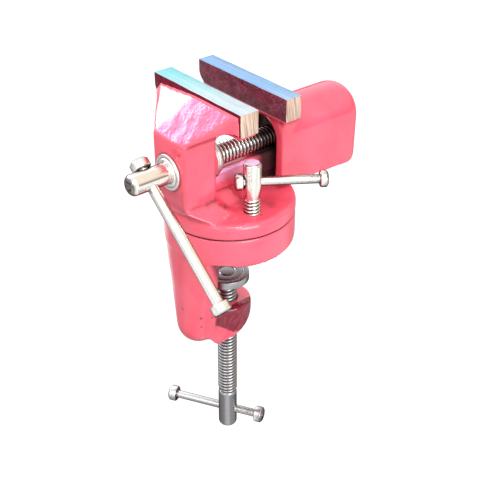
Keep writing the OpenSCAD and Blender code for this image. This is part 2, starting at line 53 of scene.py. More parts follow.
# Clamp screw
CLAMP_Y, CLAMP_Z0, CLAMP_HEAD_TOP, CLAMP_BAR_Z, CLAMP_HEAD_R = -1.9, -121.0, -97.0, -110.0, 4.9
PAD_TOP = -21.0
# Lock screw
LOCK, LOCK_Z0, LOCK_BAR_Z, LOCK_HEAD_R = (19.2, -2.3), 14.95, 37.0, 4.1
LOCK_R, LOCK_ROOT, LOCK_LEAD = 3.8, 3.1, 1.75
# Turn of each T-bar about its screw, in degrees, and the cross holes' radii
LONG_ANGLE, LOCK_ANGLE, CLAMP_ANGLE = 39.0, 55.7, 30.4
LONG_HOLE_R, SHORT_HOLE_R = 2.68, 2.18
# Slide: half widths of the rail's head and neck, the head's underside, and the ends of its held flats in z
RAIL_HW, NECK_HW, RAIL_Z0, SLIDE_GAP = 5.6, 3.6, 29.5, 0.15
NECK_FOOT, RAIL_SIDE_TOP = 23.4, 38.2
# Axes
ALONG_Y, UP = (0, 1, 0), (0, 0, 1)
# Grid of the castings
GRID = 0.5
# Corners of a CAD mesh this near each other are one, in metres
WELD = 2e-6
# Edges of the pieces drawn here that are sharper than this stay sharp, in degrees
SHARP_EDGE = 35.0


# Section: mesh helpers
def places(mesh):
    """Vertices of a mesh in millimetres, a row each."""
    co = np.empty(len(mesh.vertices) * 3)
    mesh.vertices.foreach_get("co", co)
    return co.reshape(-1, 3) / MM


def put_places(mesh, points):
    """Moves the vertices of a mesh to points in millimetres."""
    mesh.vertices.foreach_set("co", (points * MM).ravel())


def linked(name, mesh):
    """An object with this mesh, in the scene."""
    obj = bpy.data.objects.new(name, mesh)
    bpy.context.scene.collection.objects.link(obj)
    return obj


def new_object(name, verts, faces):
    """A mesh object: verts in millimetres, faces a list of index arrays, each with faces of one number of
    corners."""
    mesh = bpy.data.meshes.new(name)
    faces = [f for f in faces if len(f)]
    loops = np.concatenate([f.ravel() for f in faces]).astype(np.int32)
    sizes = np.concatenate([np.full(len(f), f.shape[1]) for f in faces]).astype(np.int32)
    starts = np.concatenate([[0], np.cumsum(sizes)[:-1]]).astype(np.int32)
    mesh.vertices.add(len(verts))
    put_places(mesh, np.asarray(verts, float))
    mesh.loops.add(len(loops))
    mesh.loops.foreach_set("vertex_index", loops)
    mesh.polygons.add(len(sizes))
    mesh.polygons.foreach_set("loop_start", starts)
    mesh.update(calc_edges=True)
    finish_shading(mesh, SHARP_EDGE)
    return linked(name, mesh)


def finish_shading(mesh, angle):
    """Smooth faces that part at edges sharper than angle, in degrees."""
    mesh.polygons.foreach_set("use_smooth", np.ones(len(mesh.polygons), bool))
    mesh.set_sharp_from_angle(angle=math.radians(angle))
    mesh.update()


def arrays_of(obj):
    """Vertices in millimetres and triangles of an object with its modifiers applied."""
    final = obj.evaluated_get(bpy.context.evaluated_depsgraph_get())
    mesh = final.to_mesh()
    mesh.calc_loop_triangles()
    verts = places(mesh)
    tris = np.empty(len(mesh.loop_triangles) * 3, np.int32)
    mesh.loop_triangles.foreach_get("vertices", tris)
    final.to_mesh_clear()
    return verts, tris.reshape(-1, 3)


def remove(obj):
    """Deletes an object and its mesh."""
    mesh = obj.data
    bpy.data.objects.remove(obj)
    bpy.data.meshes.remove(mesh)


def joined(name, parts):
    """One object out of several (verts, [faces]) shells."""
    verts, faces, at = [], [], 0
    for v, fs in parts:
        verts.append(v)
        faces += [f + at for f in fs if len(f)]
        at += len(v)
    return new_object(name, np.concatenate(verts), faces)


def place(points, origin, axis):
    """Points drawn along local Z, turned so that Z goes to axis, and moved from nought to origin."""
    z = np.array(axis, float) / np.linalg.norm(axis)
    ref = np.array([0.0, 0.0, 1.0]) if abs(z[2]) < 0.9 else np.array([1.0, 0.0, 0.0])
    x = np.cross(ref, z)
    x /= np.linalg.norm(x)
    y = np.cross(z, x)
    return np.asarray(origin, float) + points @ np.array([x, y, z])


def rounded(profile, radius, steps):
    """A profile of (along, r) points whose inner corners become quadratic arcs that start radius before each
    corner."""
    p = np.asarray(profile, float)
    out = [p[:1]]
    t = np.linspace(0, 1, steps)[:, None]
    for a, b, c in zip(p[:-2], p[1:-1], p[2:]):
        la, lc = np.linalg.norm(b - a), np.linalg.norm(c - b)
        s, e = b + (a - b) * min(radius / la, 0.45), b + (c - b) * min(radius / lc, 0.45)
        out.append((1 - t) ** 2 * s + 2 * t * (1 - t) * b + t**2 * e)
    out.append(p[-1:])
    return np.concatenate(out)


def revolved(points, segments):
    """A row of vertices for each (s, r) point: (r cos a, r sin a, s) at every angle a."""
    a = np.arange(segments) * 2 * np.pi / segments
    s, r = points[:, :1], points[:, 1:2]
    rows = np.stack([r * np.cos(a), r * np.sin(a), np.broadcast_to(s, (len(points), segments))], 2)
    return rows.reshape(-1, 3)


def turned(profile, segments=72):
    """Surface of revolution of a profile of (s, r) points whose first and last lie on the axis, where r is
    0."""
    p = np.asarray(profile, float)
    grid = revolved(p[1:-1], segments)
    verts = np.concatenate([grid, [[0, 0, p[0, 0]], [0, 0, p[-1, 0]]]])
    return verts, grid_faces(len(p) - 2, segments, len(grid), len(grid) + 1)


def grid_faces(rows, cols, first_pole, last_pole):
    """Quads of a grid that closes on itself along its columns, with a fan of triangles to a pole at each
    end."""
    i, j = np.meshgrid(np.arange(rows - 1), np.arange(cols), indexing="ij")
    k = (j + 1) % cols
    quads = np.stack([i * cols + j, i * cols + k, (i + 1) * cols + k, (i + 1) * cols + j], 2).reshape(-1, 4)
    j = np.arange(cols)
    k = (j + 1) % cols
    top = (rows - 1) * cols
    first = np.stack([np.full(cols, first_pole), k, j], 1)
    last = np.stack([np.full(cols, last_pole), top + j, top + k], 1)
    return [quads, first, last]


def ring_turned(profile, segments=96):
    """Closed revolve of a profile loop, for washers and rings: the last point joins the first."""
    p = np.asarray(profile, float)
    n = len(p)
    i, j = np.meshgrid(np.arange(n), np.arange(segments), indexing="ij")
    k, m = (j + 1) % segments, (i + 1) % n
    quads = np.stack([i * segments + j, i * segments + k, m * segments + k, m * segments + j], 2)
    return revolved(p, segments), [quads.reshape(-1, 4)]


def closed_rounded(profile, radius, steps=4):
    """The same arcs as rounded, on every corner of a loop."""
    p = np.asarray(profile, float)
    wrapped = np.concatenate([p[-1:], p, p[:1]])
    return rounded(wrapped, radius, steps)[1:-1]


def thread(s0, s1, root, crest, lead, run_out, segments=64, steps=12):
    """Helical thread: r(a, s) = root + (crest - root) * tooth((s / lead - a / 2 pi) mod 1), where tooth is a
    rounded wave, and its height fades out over run_out turns at each end. Both ends are closed by flat
    fans."""
    rows = int((s1 - s0) / lead * steps) + 1
    s = np.linspace(s0, s1, rows)[:, None]
    a = (np.arange(segments) * 2 * np.pi / segments)[None, :]
    phase = s / lead - a / (2 * np.pi)
    tooth = (0.5 - 0.5 * np.cos(2 * np.pi * phase)) ** 0.8
    fade_in = np.clip((s - s0) / (run_out[0] * lead + 1e-9), 0, 1)
    fade_out = np.clip((s1 - s) / (run_out[1] * lead + 1e-9), 0, 1)
    r = root + (crest - root) * tooth * (fade_in * fade_out)
    grid = np.stack([r * np.cos(a), r * np.sin(a), np.broadcast_to(s, r.shape)], 2).reshape(-1, 3)
    verts = np.concatenate([grid, [[0, 0, s0], [0, 0, s1]]])
    return verts, grid_faces(rows, segments, len(grid), len(grid) + 1)


def with_cross_hole(shell, origin, axis, hole_r, head_r, hole_origin, hole_axis):
    """A turned shell, put on its axis, with a hole through it whose mouths flare by a soft countersink."""
    verts, faces = shell
    body = new_object("head_blank", place(verts, origin, axis), faces)
    reach, flare, sink = 3, 1.0, 0.9
    near_half = [(-head_r - reach, 0), (-head_r - reach, hole_r + flare), (-head_r + sink, hole_r)]
    v, f = turned(near_half + [(-s, r) for s, r in near_half[::-1]], 48)
    cutter = new_object("cutter", place(v, hole_origin, hole_axis), f)
    cut = body.modifiers.new("hole", "BOOLEAN")
    cut.operation, cut.object, cut.solver = "DIFFERENCE", cutter, "EXACT"
    verts, tris = arrays_of(body)
    remove(body)
    remove(cutter)
    return verts, [tris]


def merged_copy(node, name):
    """A copy of a CAD node whose loose triangles share their vertices."""
    mesh = bpy.data.meshes.new(name)
    bm = bmesh.new()
    bm.from_mesh(NODES[node].data)
    bmesh.ops.remove_doubles(bm, verts=bm.verts, dist=WELD)
    bm.to_mesh(mesh)
    bm.free()
    return linked(name, mesh)


def applied(obj, name, smooth_angle):
    """A new object with the modifiers of obj applied; obj is removed."""
    graph = bpy.context.evaluated_depsgraph_get()
    mesh = bpy.data.meshes.new_from_object(obj.evaluated_get(graph))
    remove(obj)
    mesh.name = name
    made = linked(name, mesh)
    finish_shading(mesh, smooth_angle)
    return made


# Section: castings
def prism(outline, y0, y1):
    """A solid with this (x, z) outline between two depths, outline run anticlockwise as seen from -Y."""
    n = len(outline)
    v = np.array([(x, y, z) for y in (y0, y1) for x, z in outline], float)
    i = np.arange(n)
    sides = np.stack([i, (i + 1) % n, (i + 1) % n + n, i + n], 1)
    return new_object("prism", v, [i[None, ::-1], sides[:, ::-1], i[None] + n])


def unit_waves(p, stretch, shortest, longest, seed, count=14):
    """Sum of sines of random direction and phase over points whose axes were first multiplied by stretch,
    scaled to a mean square of one. Their lengths run from shortest to longest in millimetres."""
    random = np.random.default_rng(seed)
    ways = random.normal(size=(count, 3))
    ways /= np.linalg.norm(ways, axis=1)[:, None] * random.uniform(shortest, longest, count)[:, None]
    turns = (p * np.array(stretch)) @ ways.T + random.uniform(0, 1, count)
    return np.sin(2 * np.pi * turns).sum(1) * math.sqrt(2 / count)


def slope_share(p, normals):
    """One on the head's slope, which looks up and towards -Y at once, and nought elsewhere."""
    lean = np.clip((-normals[:, 1] - 0.4) / 0.2, 0, 1) * np.clip((normals[:, 2] - 0.4) / 0.2, 0, 1)
    return lean * (p[:, 2] > 57)


def enamel_waves(p, normals):
    """Height of the enamel's slow waves, with deeper and shorter ones down the slope, where it sagged."""
    slope, down = slope_share(p, normals), (1, 0.6, 0.6)
    slow = 0.012 * unit_waves(p, (1, 1, 1), 5.0, 14.0, 3)
    sags = 0.010 * unit_waves(p, down, 2.4, 6.0, 8) + 0.022 * unit_waves(p, down, 6.0, 14.0, 21)
    return slow * (1 - slope) + slope * sags


def neighbour_mean(mesh):
    """A function from one value for each vertex to the mean of its neighbours' values."""
    n = len(mesh.vertices)
    edges = np.empty(len(mesh.edges) * 2, np.int32)
    mesh.edges.foreach_get("vertices", edges)
    a, b = edges.reshape(-1, 2).T
    degree = np.bincount(a, minlength=n) + np.bincount(b, minlength=n)

    def mean(values):
        return (np.bincount(a, values[b], n) + np.bincount(b, values[a], n)) / degree

    return mean


def casting(node, name, passes, hold, dents, cuts=()):
    """A casting with soft edges: the solid is meshed anew on a fine grid, then each vertex moves to the mean
    of its neighbours for as many passes as passes(points) gives. hold(points) returns a mask and the machined
    places that those vertices keep. A dent is (x, y, z, radius, depth): vertices near it sink by depth *
    exp(-(d / radius)^2). A cut is an (outline, y0, y1) prism that is taken off first, at +X and mirrored at
    -X. The enamel's waves go over everything that isn't machined, and nothing leaves the solid's box."""
    blank = merged_copy(node, name + "_blank")
    corners = places(blank.data)
    for outline, y0, y1 in cuts:
        for knife in (prism(outline, y0, y1), prism([(-x, z) for x, z in outline[::-1]], y0, y1)):
            cut = blank.modifiers.new("cut", "BOOLEAN")
            cut.operation, cut.solver, cut.object = "DIFFERENCE", "EXACT", knife
            blank = applied(blank, name + "_blank", 60)
            remove(knife)
    remesh = blank.modifiers.new("grid", "REMESH")
    remesh.mode, remesh.voxel_size, remesh.adaptivity = "VOXEL", GRID * MM, 0.0
    piece = applied(blank, name, 60)
    mesh = piece.data
    mean = neighbour_mean(mesh)
    start = places(mesh)
    co = start.copy()
    count = passes(start)
    mask, kept = hold(start)
    co[mask] = kept[mask]
    for i in range(int(count.max())):
        weight = 0.5 * np.clip(count - i, 0, 1)[:, None]
        co += weight * (np.stack([mean(column) for column in co.T], 1) - co)
        co[mask] = kept[mask]
    put_places(mesh, co)
    mesh.update()
    normals = np.empty(co.size)
    mesh.vertices.foreach_get("normal", normals)
    normals = normals.reshape(-1, 3)
    for x, y, z, radius, depth in dents:
        d2 = ((co - (x, y, z)) ** 2).sum(1) / radius**2
        co -= normals * (depth * np.exp(-d2))[:, None]
    co += normals * (enamel_waves(co, normals) * ~mask)[:, None]
    co = np.clip(co, corners.min(0), corners.max(0))
    put_places(mesh, co)
    # How far the rounding moved the surface in or out tells its edges from its corners
    bend = ((start - co) * normals).sum(1)
    for _ in range(4):
        bend = 0.5 * bend + 0.5 * mean(bend)
    point_values(mesh, "edge", np.clip(bend / 0.35, 0, 1))
    point_values(mesh, "corner", np.clip(-bend / 0.35, 0, 1) * np.clip(1.5 - count / 40, 0.12, 1))
    finish_shading(mesh, 60)
    return piece


def point_values(mesh, name, values):
    """Keeps one value for each vertex as an attribute that a material can read."""
    attribute = mesh.attributes.new(name, "FLOAT", "POINT")
    attribute.data.foreach_set("value", values.astype(np.float32))


def formula_values(piece, name, formula):
    """An attribute worked out by formula(x, y, z) from the vertices' places, held between 0 and 1."""
    point_values(piece.data, name, np.clip(formula(*places(piece.data).T), 0, 1))


def speck_values(piece, specks):
    """Chips in the enamel: (x, y, z, radius) each, strongest value of exp(-(d / radius)^4) over all of
    them."""
    s = np.asarray(specks, float)
    d = np.sqrt(((places(piece.data)[:, None] - s[None, :, :3]) ** 2).sum(2)) / s[None, :, 3]
    point_values(piece.data, "chip", np.exp(-(d**4)).max(1))


def stroke_values(piece, name, strokes):
    """Soft strokes (start, end, radius, strength): strongest value of strength * exp(-(d / radius)^2), where
    d is the distance from a vertex to the line between start and end."""
    co = places(piece.data)
    total = np.zeros(len(co))
    for start, end, radius, strength in strokes:
        a, way = np.array(start, float), np.array(end, float) - np.array(start, float)
        t = np.clip((co - a) @ way / max(way @ way, 1e-9), 0, 1)
        d = np.linalg.norm(co - a - t[:, None] * way, axis=1)
        total = np.maximum(total, strength * np.exp(-((d / radius) ** 2)))
    point_values(piece.data, name, total)


def ring_strokes(centre, axis, radius, width, strength):
    """A ring of short strokes round an axis."""
    t = np.linspace(0, 2 * np.pi, 49)
    ring = place(np.stack([radius * np.cos(t), radius * np.sin(t), np.zeros_like(t)], 1), centre, axis)
    return [(a, b, width, strength) for a, b in zip(ring[:-1], ring[1:])]


def planes_held(p, planes, reach=0.3):
    """Mask and places for vertices within reach of machined planes: each plane is (axis, value, box test)."""
    mask, kept = np.zeros(len(p), bool), p.copy()
    for axis, value, inside in planes:
        near = (np.abs(p[:, axis] - value) < reach) & inside(p)
        kept[near, axis] = value
        mask |= near
    return mask, kept


def bores_held(p, mask, kept, bores, reach=0.45):
    """Adds vertices near a bore's wall, set to its radius: a bore is (axis, centre u, centre v, radius, low,
    high)."""
    for axis, cu, cv, radius, low, high in bores:
        u, v = [k for k in range(3) if k != axis]
        du, dv = p[:, u] - cu, p[:, v] - cv
        r = np.hypot(du, dv)
        near = (np.abs(r - radius) < reach) & (p[:, axis] > low) & (p[:, axis] < high)
        kept[near, u] = cu + du[near] / r[near] * radius
        kept[near, v] = cv + dv[near] / r[near] * radius
        mask |= near
    return mask, kept


def slide_planes(gap, y0, y1, neck_free, side_free):
    """Flats of the slide between two depths, set off by a gap: underside of the rail's head, and sides of
    head and neck. The corners at the neck and at the sides stay free over these lengths, and round off."""
    w, n, z0 = RAIL_HW + gap, NECK_HW + gap, RAIL_Z0 - gap
    along = lambda q: (q[:, 1] > y0) & (q[:, 1] < y1)
    under = lambda q: along(q) & (np.abs(q[:, 0]) > n + neck_free) & (np.abs(q[:, 0]) < w - side_free)
    beside = lambda q: along(q) & (q[:, 2] > z0 + side_free) & (q[:, 2] < RAIL_SIDE_TOP)
    neck = lambda q: along(q) & (q[:, 2] > NECK_FOOT) & (q[:, 2] < z0 - neck_free)
    flats = [(2, z0, under)]
    for side in (1, -1):
        flats += [(0, side * w, beside), (0, side * n, neck)]
    return flats


def swivel_hold(p):
    """The disc's underside, the bar's seat, the bosses, the rail and the two bores."""
    seat = lambda q: (q[:, 2] > BAR_Z0 - 0.3) & (q[:, 1] > -20)
    mask, kept = planes_held(
        p,
        [
            (2, SEAM, lambda q: np.hypot(q[:, 0], q[:, 1]) < DISC_FLAT_R),
            (1, FIXED_BACK, seat),
            (2, BAR_Z0, lambda q: (q[:, 1] > FIXED_BACK) & (q[:, 1] < -9.5)),
            (1, BOSS_FRONT, lambda q: np.hypot(q[:, 0], q[:, 2] - SPINDLE_Z) < 8),
            (1, BOSS_BACK, lambda q: np.hypot(q[:, 0], q[:, 2] - SPINDLE_Z) < 8.4),
            *slide_planes(0, 6.0, 46.4, -0.3, 0.7),
        ],
    )
    lock_bore, spindle_bore = (2, *LOCK, 3.86, SEAM, 21.8), (1, 0, SPINDLE_Z, 5.08, -33, -13.4)
    return bores_held(p, mask, kept, [lock_bore, spindle_bore])


def swivel_passes(p):
    """A dozen passes, many more where the skirt runs into the disc, and few on the slide rail."""
    x, y, z = p.T
    r = np.hypot(x, y)
    foot = np.clip((z - 20.5) / 1.5, 0, 1) * np.clip((31 - z) / 3, 0, 1) * np.clip((28.5 - r) / 3, 0, 1)
    foot = foot * np.clip((8 - y) / 4, 0, 1)
    rim = (z > 20) & (z < 22.6) & (r > 28.5)
    rail = (y > -14) & (np.abs(x) < 7) & (z > 27.5)
    return np.where(rail, 5.0, 11.0 + 85.0 * foot + 3.0 * rim)


def jaw_hold(p):
    """The bar's seat, the flats that clasp the rail, and all of the hood's inside."""
    inside = (np.abs(p[:, 0]) < 9.9) & (p[:, 1] > 19.5) & (p[:, 1] < 66) & (p[:, 2] < 55)
    mask, kept = planes_held(
        p,
        [
            (1, MOVE_BACK, lambda q: q[:, 2] > BAR_Z0 - 0.3),
            (2, BAR_Z0, lambda q: (q[:, 1] > 7.6) & (q[:, 1] < 15.1)),
        ],
    )
    slides, slid = planes_held(p, slide_planes(SLIDE_GAP, 23.0, 66.0, 0.7, -0.3), 0.42)
    kept[slides] = slid[slides]
    return mask | inside | slides, kept


def jaw_passes(p):
    """The same number of passes all over."""
    return np.full(len(p), 13.0)


def base_hold(p):
    """The disc's top, the bench face, and the bores of the clamp screw and the pivot bolt."""
    mask, kept = planes_held(
        p,
        [
            (2, BASE_TOP, lambda q: np.hypot(q[:, 0], q[:, 1]) < DISC_FLAT_R),
            (2, 0.0, lambda q: (q[:, 1] > -16.5) & (np.hypot(q[:, 0], q[:, 1]) > 11)),
        ],
    )
    return bores_held(p, mask, kept, [(2, 0, CLAMP_Y, 5.06, -57.5, -36.8), (2, 0, 0, 4.48, 7.5, 14.5)])


def base_passes(p):
    """More passes low on the leg and the arm, which are rounder."""
    return np.where(p[:, 2] < -2, 24.0, 13.0)


def hood_hollow_shade(x, y, z):
    """One inside the hood and the head's mouth, which get painted shade, and none outside."""
    half = np.where(z < 45.7, 10.1, np.sqrt(np.clip(10.3**2 - (z - 45.7) ** 2, 0, None)))
    return np.clip((y - 19.6) / 2.0, 0, 1) * (np.abs(x) < half) * (y < 67.6) * (z < 55.9)


def rail_shade_under_hood(x, y, z):
    """Painted shade on the slide rail from where the hood covers it."""
    return (y - 8.5) / 6.5 * (np.abs(x) < 8) * (z > 22.8)


def throat_painted_shade(x, y, z):
    """The leg's inner side and the arm's side, darkened there as painted shade under the disc and along the
    arm, with soft slanting edges."""
    inner_side = np.maximum((y + 24.5 + 0.385 * (z + 2)) / 2.5, (y + 17.3) * 5)
    leg = np.clip(inner_side, 0, 1) * (z < -0.4) * (z > -31) * (np.hypot(x, y) > 14)
    low_edge = 50.5 - 0.85 * np.clip(-7 - y, 0, None)
    arm = np.clip((y + 18.5) / 1.5, 0, 1) * np.clip((z + low_edge) / 1.2, 0, 1)
    arm = arm * np.clip((-33.2 - z) / 1.5, 0, 1) * (np.abs(x) > 7.5)
    return np.maximum(leg, arm)


# The head's wings grow out of the block's sides in an arch over the screw
WING_ARCH = [(11.5, 57), (40, 57), (40, 65.1), (22, 64.9), (18.6, 64), (15, 62), (11.5, 59.6)]
WING_BACK = [(11.5, 57), (40, 57), (40, 66.6), (28.2, 67.4), (26.4, 67.8), (23.9, 67.3)]
WING_BACK += [(21.8, 66.2), (20, 65.2), (17.9, 63.8), (15, 61.9), (11.5, 59.6)]
cast_swivel = casting(
    "swivel_body", "cast_swivel", swivel_passes, swivel_hold,
    [
        (11.6, -15.6, 31.0, 2.2, 0.5), (12.6, -21, 27.5, 3.0, 0.35), (4, -26, 22.1, 4.0, 0.15),
        (-16, -12, 22.1, 5, 0.2), (12.9, -14.2, 25.4, 1.2, 0.3), (13.4, -17.2, 25.6, 1.0, -0.25),
    ],
    [(WING_ARCH, -40, -8), (WING_BACK, -40, FIXED_BACK - 0.05)],
)
cast_jaw = casting(
    "moving_jaw", "cast_jaw", jaw_passes, jaw_hold,
    [(14.6, 38, 40, 9, 0.18), (14.6, 58, 33, 8, 0.2), (-14.6, 45, 38, 9, 0.2), (0, 40, 59.6, 8, 0.15)],
)
cast_base = casting(
    "clamp_base", "cast_base", base_passes, base_hold,
    [(2, -27, -34, 5, 0.3), (-8, -26, -20, 6, 0.25), (8, -25, -12, 6, 0.2), (9, -14, -50, 2.2, 0.4)],
)
speck_values(cast_base, [
    (1.5, -30.2, -29.4, 0.55), (1.9, -30.1, -30.4, 0.4), (10.4, -26, -32.5, 0.75), (9.8, -25.4, -38.3, 0.55),
    (11.9, -20.6, -34, 0.6), (-14, -26, 4, 0.4), (20, 20, 9, 0.45), (-30.5, 3, 8, 0.4),
])
speck_values(cast_swivel, [
    (24.5, -1.5, 22.15, 0.5), (13, -15.2, 26, 0.6), (-6, -33.4, 52, 0.3),
    (-20, 18, 22.15, 0.5), (-11.4, -25, 40, 0.4),
])
speck_values(cast_jaw, [(14.6, 27, 36, 0.35), (4, 71.8, 40, 0.45), (-14.6, 52, 47, 0.4)])
# Dark seam round the lower disc's top, and painted shade where the arm meets the leg and under the disc's
# overhang
stroke_values(cast_base, "grime_and_painted_shade", ring_strokes((0, 0, BASE_TOP), (0, 0, 1), DISC_R, 0.5, 0.95) + [
    ((8, -16, -40), (9, -8, -40), 2.0, 0.5),
    ((-8, -16, -40), (-9, -8, -40), 2.0, 0.5),
    ((0, -17.6, 0), (0, -17.6, -4), 3.0, 0.5),
])
SEAM_RING = ring_strokes((0, 0, SEAM), (0, 0, 1), DISC_R, 0.5, 0.95)
# Painted contact shadow round the collar on the block's front
COLLAR_CONTACT_SHADOW = ring_strokes((0, BOSS_FRONT, SPINDLE_Z), (0, 1, 0), 8.6, 0.4, 0.8)
# Dark lines on the block's edges; those in the creases under the wings are painted shade
BLOCK_EDGES = [
    ((11.5, -32, 59), (11.5, -17, 59), 0.45, 0.5),
    ((11.2, -33, 56), (11.3, -33, 31), 0.4, 0.4),
    ((11.6, -17, 57), (11.6, -16.8, 33), 0.4, 0.55),
    ((12.5, -17, 60.5), (24, -17.8, 66.4), 0.5, 0.5),
    ((-10.5, -33.2, 57), (-11.3, -33, 40), 0.5, 0.45),
    ((11.4, -33.4, 40), (11.4, -33.4, 31), 0.5, 0.25),
]
# Painted shade in the crease at the block's foot and along the skirt, and a painted shadow behind the lock
# screw
BLOCK_FOOT_SHADE = [
    ((12.2, -14.6, 26.3), (12.6, -16.4, 27.2), 1.1, 0.8),
    ((11.6, -30, 29.3), (11.6, -17, 29.6), 1.1, 0.45),
    ((11.8, -22, 29.2), (11.8, -16.5, 29.4), 1.6, 0.75),
    ((-11.6, -30, 29.3), (-11.6, -17, 29.6), 1.2, 0.5),
    ((14.2, -13.8, 25.6), (12, -11.5, 25), 1.6, 0.7),
    ((12, -9, 23.8), (16, -4, 22.5), 1.5, 0.35),
    ((19.5, 8.5, 22.2), (22, 7, 22.2), 1.5, 0.4),
    ((-11.4, -33.4, 29), (11.4, -33.4, 29), 1.0, 0.3),
]
# Painted shadow under the rail's head
RAIL_UNDERCUT_SHADOW = [
    ((5.7, -13, 29.2), (5.7, 16, 29.2), 0.9, 0.8),
    ((-5.7, -13, 29.2), (-5.7, 30, 29.2), 0.9, 0.7),
]
stroke_values(cast_swivel, "grime_and_painted_shade", SEAM_RING + COLLAR_CONTACT_SHADOW + BLOCK_EDGES + BLOCK_FOOT_SHADE + RAIL_UNDERCUT_SHADOW)
# Painted shade down the hood's front edge and where the hood meets the bar
stroke_values(cast_jaw, "grime_and_painted_shade", [
    ((14.6, 19.4, 26), (14.6, 19.4, 44), 0.35, 0.35),
    ((0, 19.4, 60.3), (0, 15, 63), 0.8, 0.2),
])
# Enamel rubbed pale on the rail's top edges, with a painted violet sheen there and on its right side
stroke_values(cast_swivel, "rubbed_with_sheen", [
    ((5.3, -12.5, 38.4), (5.3, 6, 38.4), 0.9, 1.0),
    ((-5.3, -12.5, 38.4), (-5.3, 6, 38.4), 0.9, 1.0),
    ((5.7, -14, 35.4), (5.7, 2, 35.4), 2.2, 0.5),
])
# Painted shade inside the hood and on the rail that it covers
formula_values(cast_swivel, "inside", rail_shade_under_hood)
formula_values(cast_jaw, "inside", hood_hollow_shade)
# Painted shade on the leg's inner side and the arm's side
formula_values(cast_base, "thin", throat_painted_shade)
for piece, node, body in (
    (cast_swivel, "swivel_body", "swivel"),
    (cast_jaw, "moving_jaw", "jaw"),
    (cast_base, "clamp_base", "base"),
):
    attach(piece, body)
    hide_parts(node)


# Section: jaw bars
def bar_sides(mesh):
    """Material slots by the way a face looks: 0 ground top, 1 sawn ends, 2 face at -Y and underside, 3 face
    at +Y."""
    normals = np.empty(len(mesh.polygons) * 3)
    mesh.polygons.foreach_get("normal", normals)
    nx, ny, nz = normals.reshape(-1, 3).T
    slots = np.where(np.abs(nx) > 0.6, 1, np.where(nz > 0.6, 0, np.where(ny > 0.5, 3, 2)))
    mesh.polygons.foreach_set("material_index", slots.astype(np.int32))


def dressed_bar(node, name, body, bow):
    """The ground bar with its edges broken by a small bevel. Its flats are cut into short lengths, and each
    corner line wanders by bow * (sin(x / 3.1) + sin(x / 1.3)) inwards, as a filed edge does."""
    bar = merged_copy(node, name + "_blank")
    bm = bmesh.new()
    bm.from_mesh(bar.data)
    bmesh.ops.dissolve_limit(bm, angle_limit=math.radians(1), verts=bm.verts, edges=bm.edges)
    for cut in np.arange(-29.0, 29.5, 1.0):
        everything = bm.verts[:] + bm.edges[:] + bm.faces[:]
        bmesh.ops.bisect_plane(bm, geom=everything, dist=1e-7, plane_co=(cut * MM, 0, 0), plane_no=(1, 0, 0))
    bm.to_mesh(bar.data)
    bm.free()
    co = places(bar.data)
    middle = (co.min(0) + co.max(0)) / 2
    x = co[:, 0]
    for axis, shift in ((1, 0.7), (2, 2.1)):
        side = np.sign(co[:, axis] - middle[axis])
        wander = bow * (2 + np.sin(x / 3.1 + shift + side) + np.sin(x / 1.3 + 2 * shift * side)) / 2
        co[:, axis] -= side * wander
    put_places(bar.data, co)
    bevel = bar.modifiers.new("edge", "BEVEL")
    bevel.width, bevel.segments, bevel.limit_method, bevel.angle_limit = 0.00028, 2, "ANGLE", math.radians(35)
    piece = applied(bar, name, 30)
    bar_sides(piece.data)
    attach(piece, body)
    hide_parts(node)
    return piece


fixed_bar = dressed_bar("fixed_jaw_bar", "ground_bar_fixed", "swivel", 0.07)
moving_bar = dressed_bar("moving_jaw_bar", "ground_bar_moving", "jaw", 0.07)


# Section: screws
def bar_direction(kind):
    """The way in which a T-bar lies at rest, from its near stop to its far one."""
    if kind == "long":
        t = math.radians(LONG_ANGLE)
        return np.array([math.cos(t), 0, -math.sin(t)])
    t = math.radians(LOCK_ANGLE if kind == "lock" else CLAMP_ANGLE)
    return np.array([math.cos(t), math.sin(t), 0])


LONG_WAY, LOCK_WAY, CLAMP_WAY = (bar_direction(kind) for kind in ("long", "lock", "clamp"))
LONG_CENTRE = (0, BAR_Y, SPINDLE_Z)
LOCK_CENTRE = (*LOCK, LOCK_BAR_Z)
CLAMP_CENTRE = (0, CLAMP_Y, CLAMP_BAR_Z)
SPINDLE_START, CLAMP_START, LOCK_START = (0, SPINDLE_Y0, SPINDLE_Z), (0, CLAMP_Y, CLAMP_Z0), (*LOCK, LOCK_Z0)


def screw_of(name, shell, shells, origin, axis):
    """One object of a head that is in its place and of more shells still drawn along local Z."""
    return joined(name, [shell] + [(place(v, origin, axis), f) for v, f in shells])


def spindle_piece():
    """Spindle along +Y: a plain head with a domed end and a cross hole, a journal through the block, and its
    thread."""
    end = COLLAR_Y0 - SPINDLE_Y0
    journal_end = 44.3
    head = [(0, 0), (0, HEAD_R - 1.6), (1.5, HEAD_R), (end - 0.6, HEAD_R), (end, HEAD_R - 0.5), (end, 0)]
    shell = with_cross_hole(
        turned(rounded(head, 0.9, 7), 96), SPINDLE_START, ALONG_Y, LONG_HOLE_R, HEAD_R, LONG_CENTRE, LONG_WAY
    )
    journal = turned([(end - 0.4, 0), (end - 0.4, SCREW_R), (journal_end, SCREW_R), (journal_end, 0)])
    screw = thread(43.6, SPINDLE_Y1 - SPINDLE_Y0, SCREW_ROOT, SCREW_R, LEAD, (0.2, 1.2), 72, 16)
    return screw_of("spindle_screw", shell, [journal, screw], SPINDLE_START, ALONG_Y)


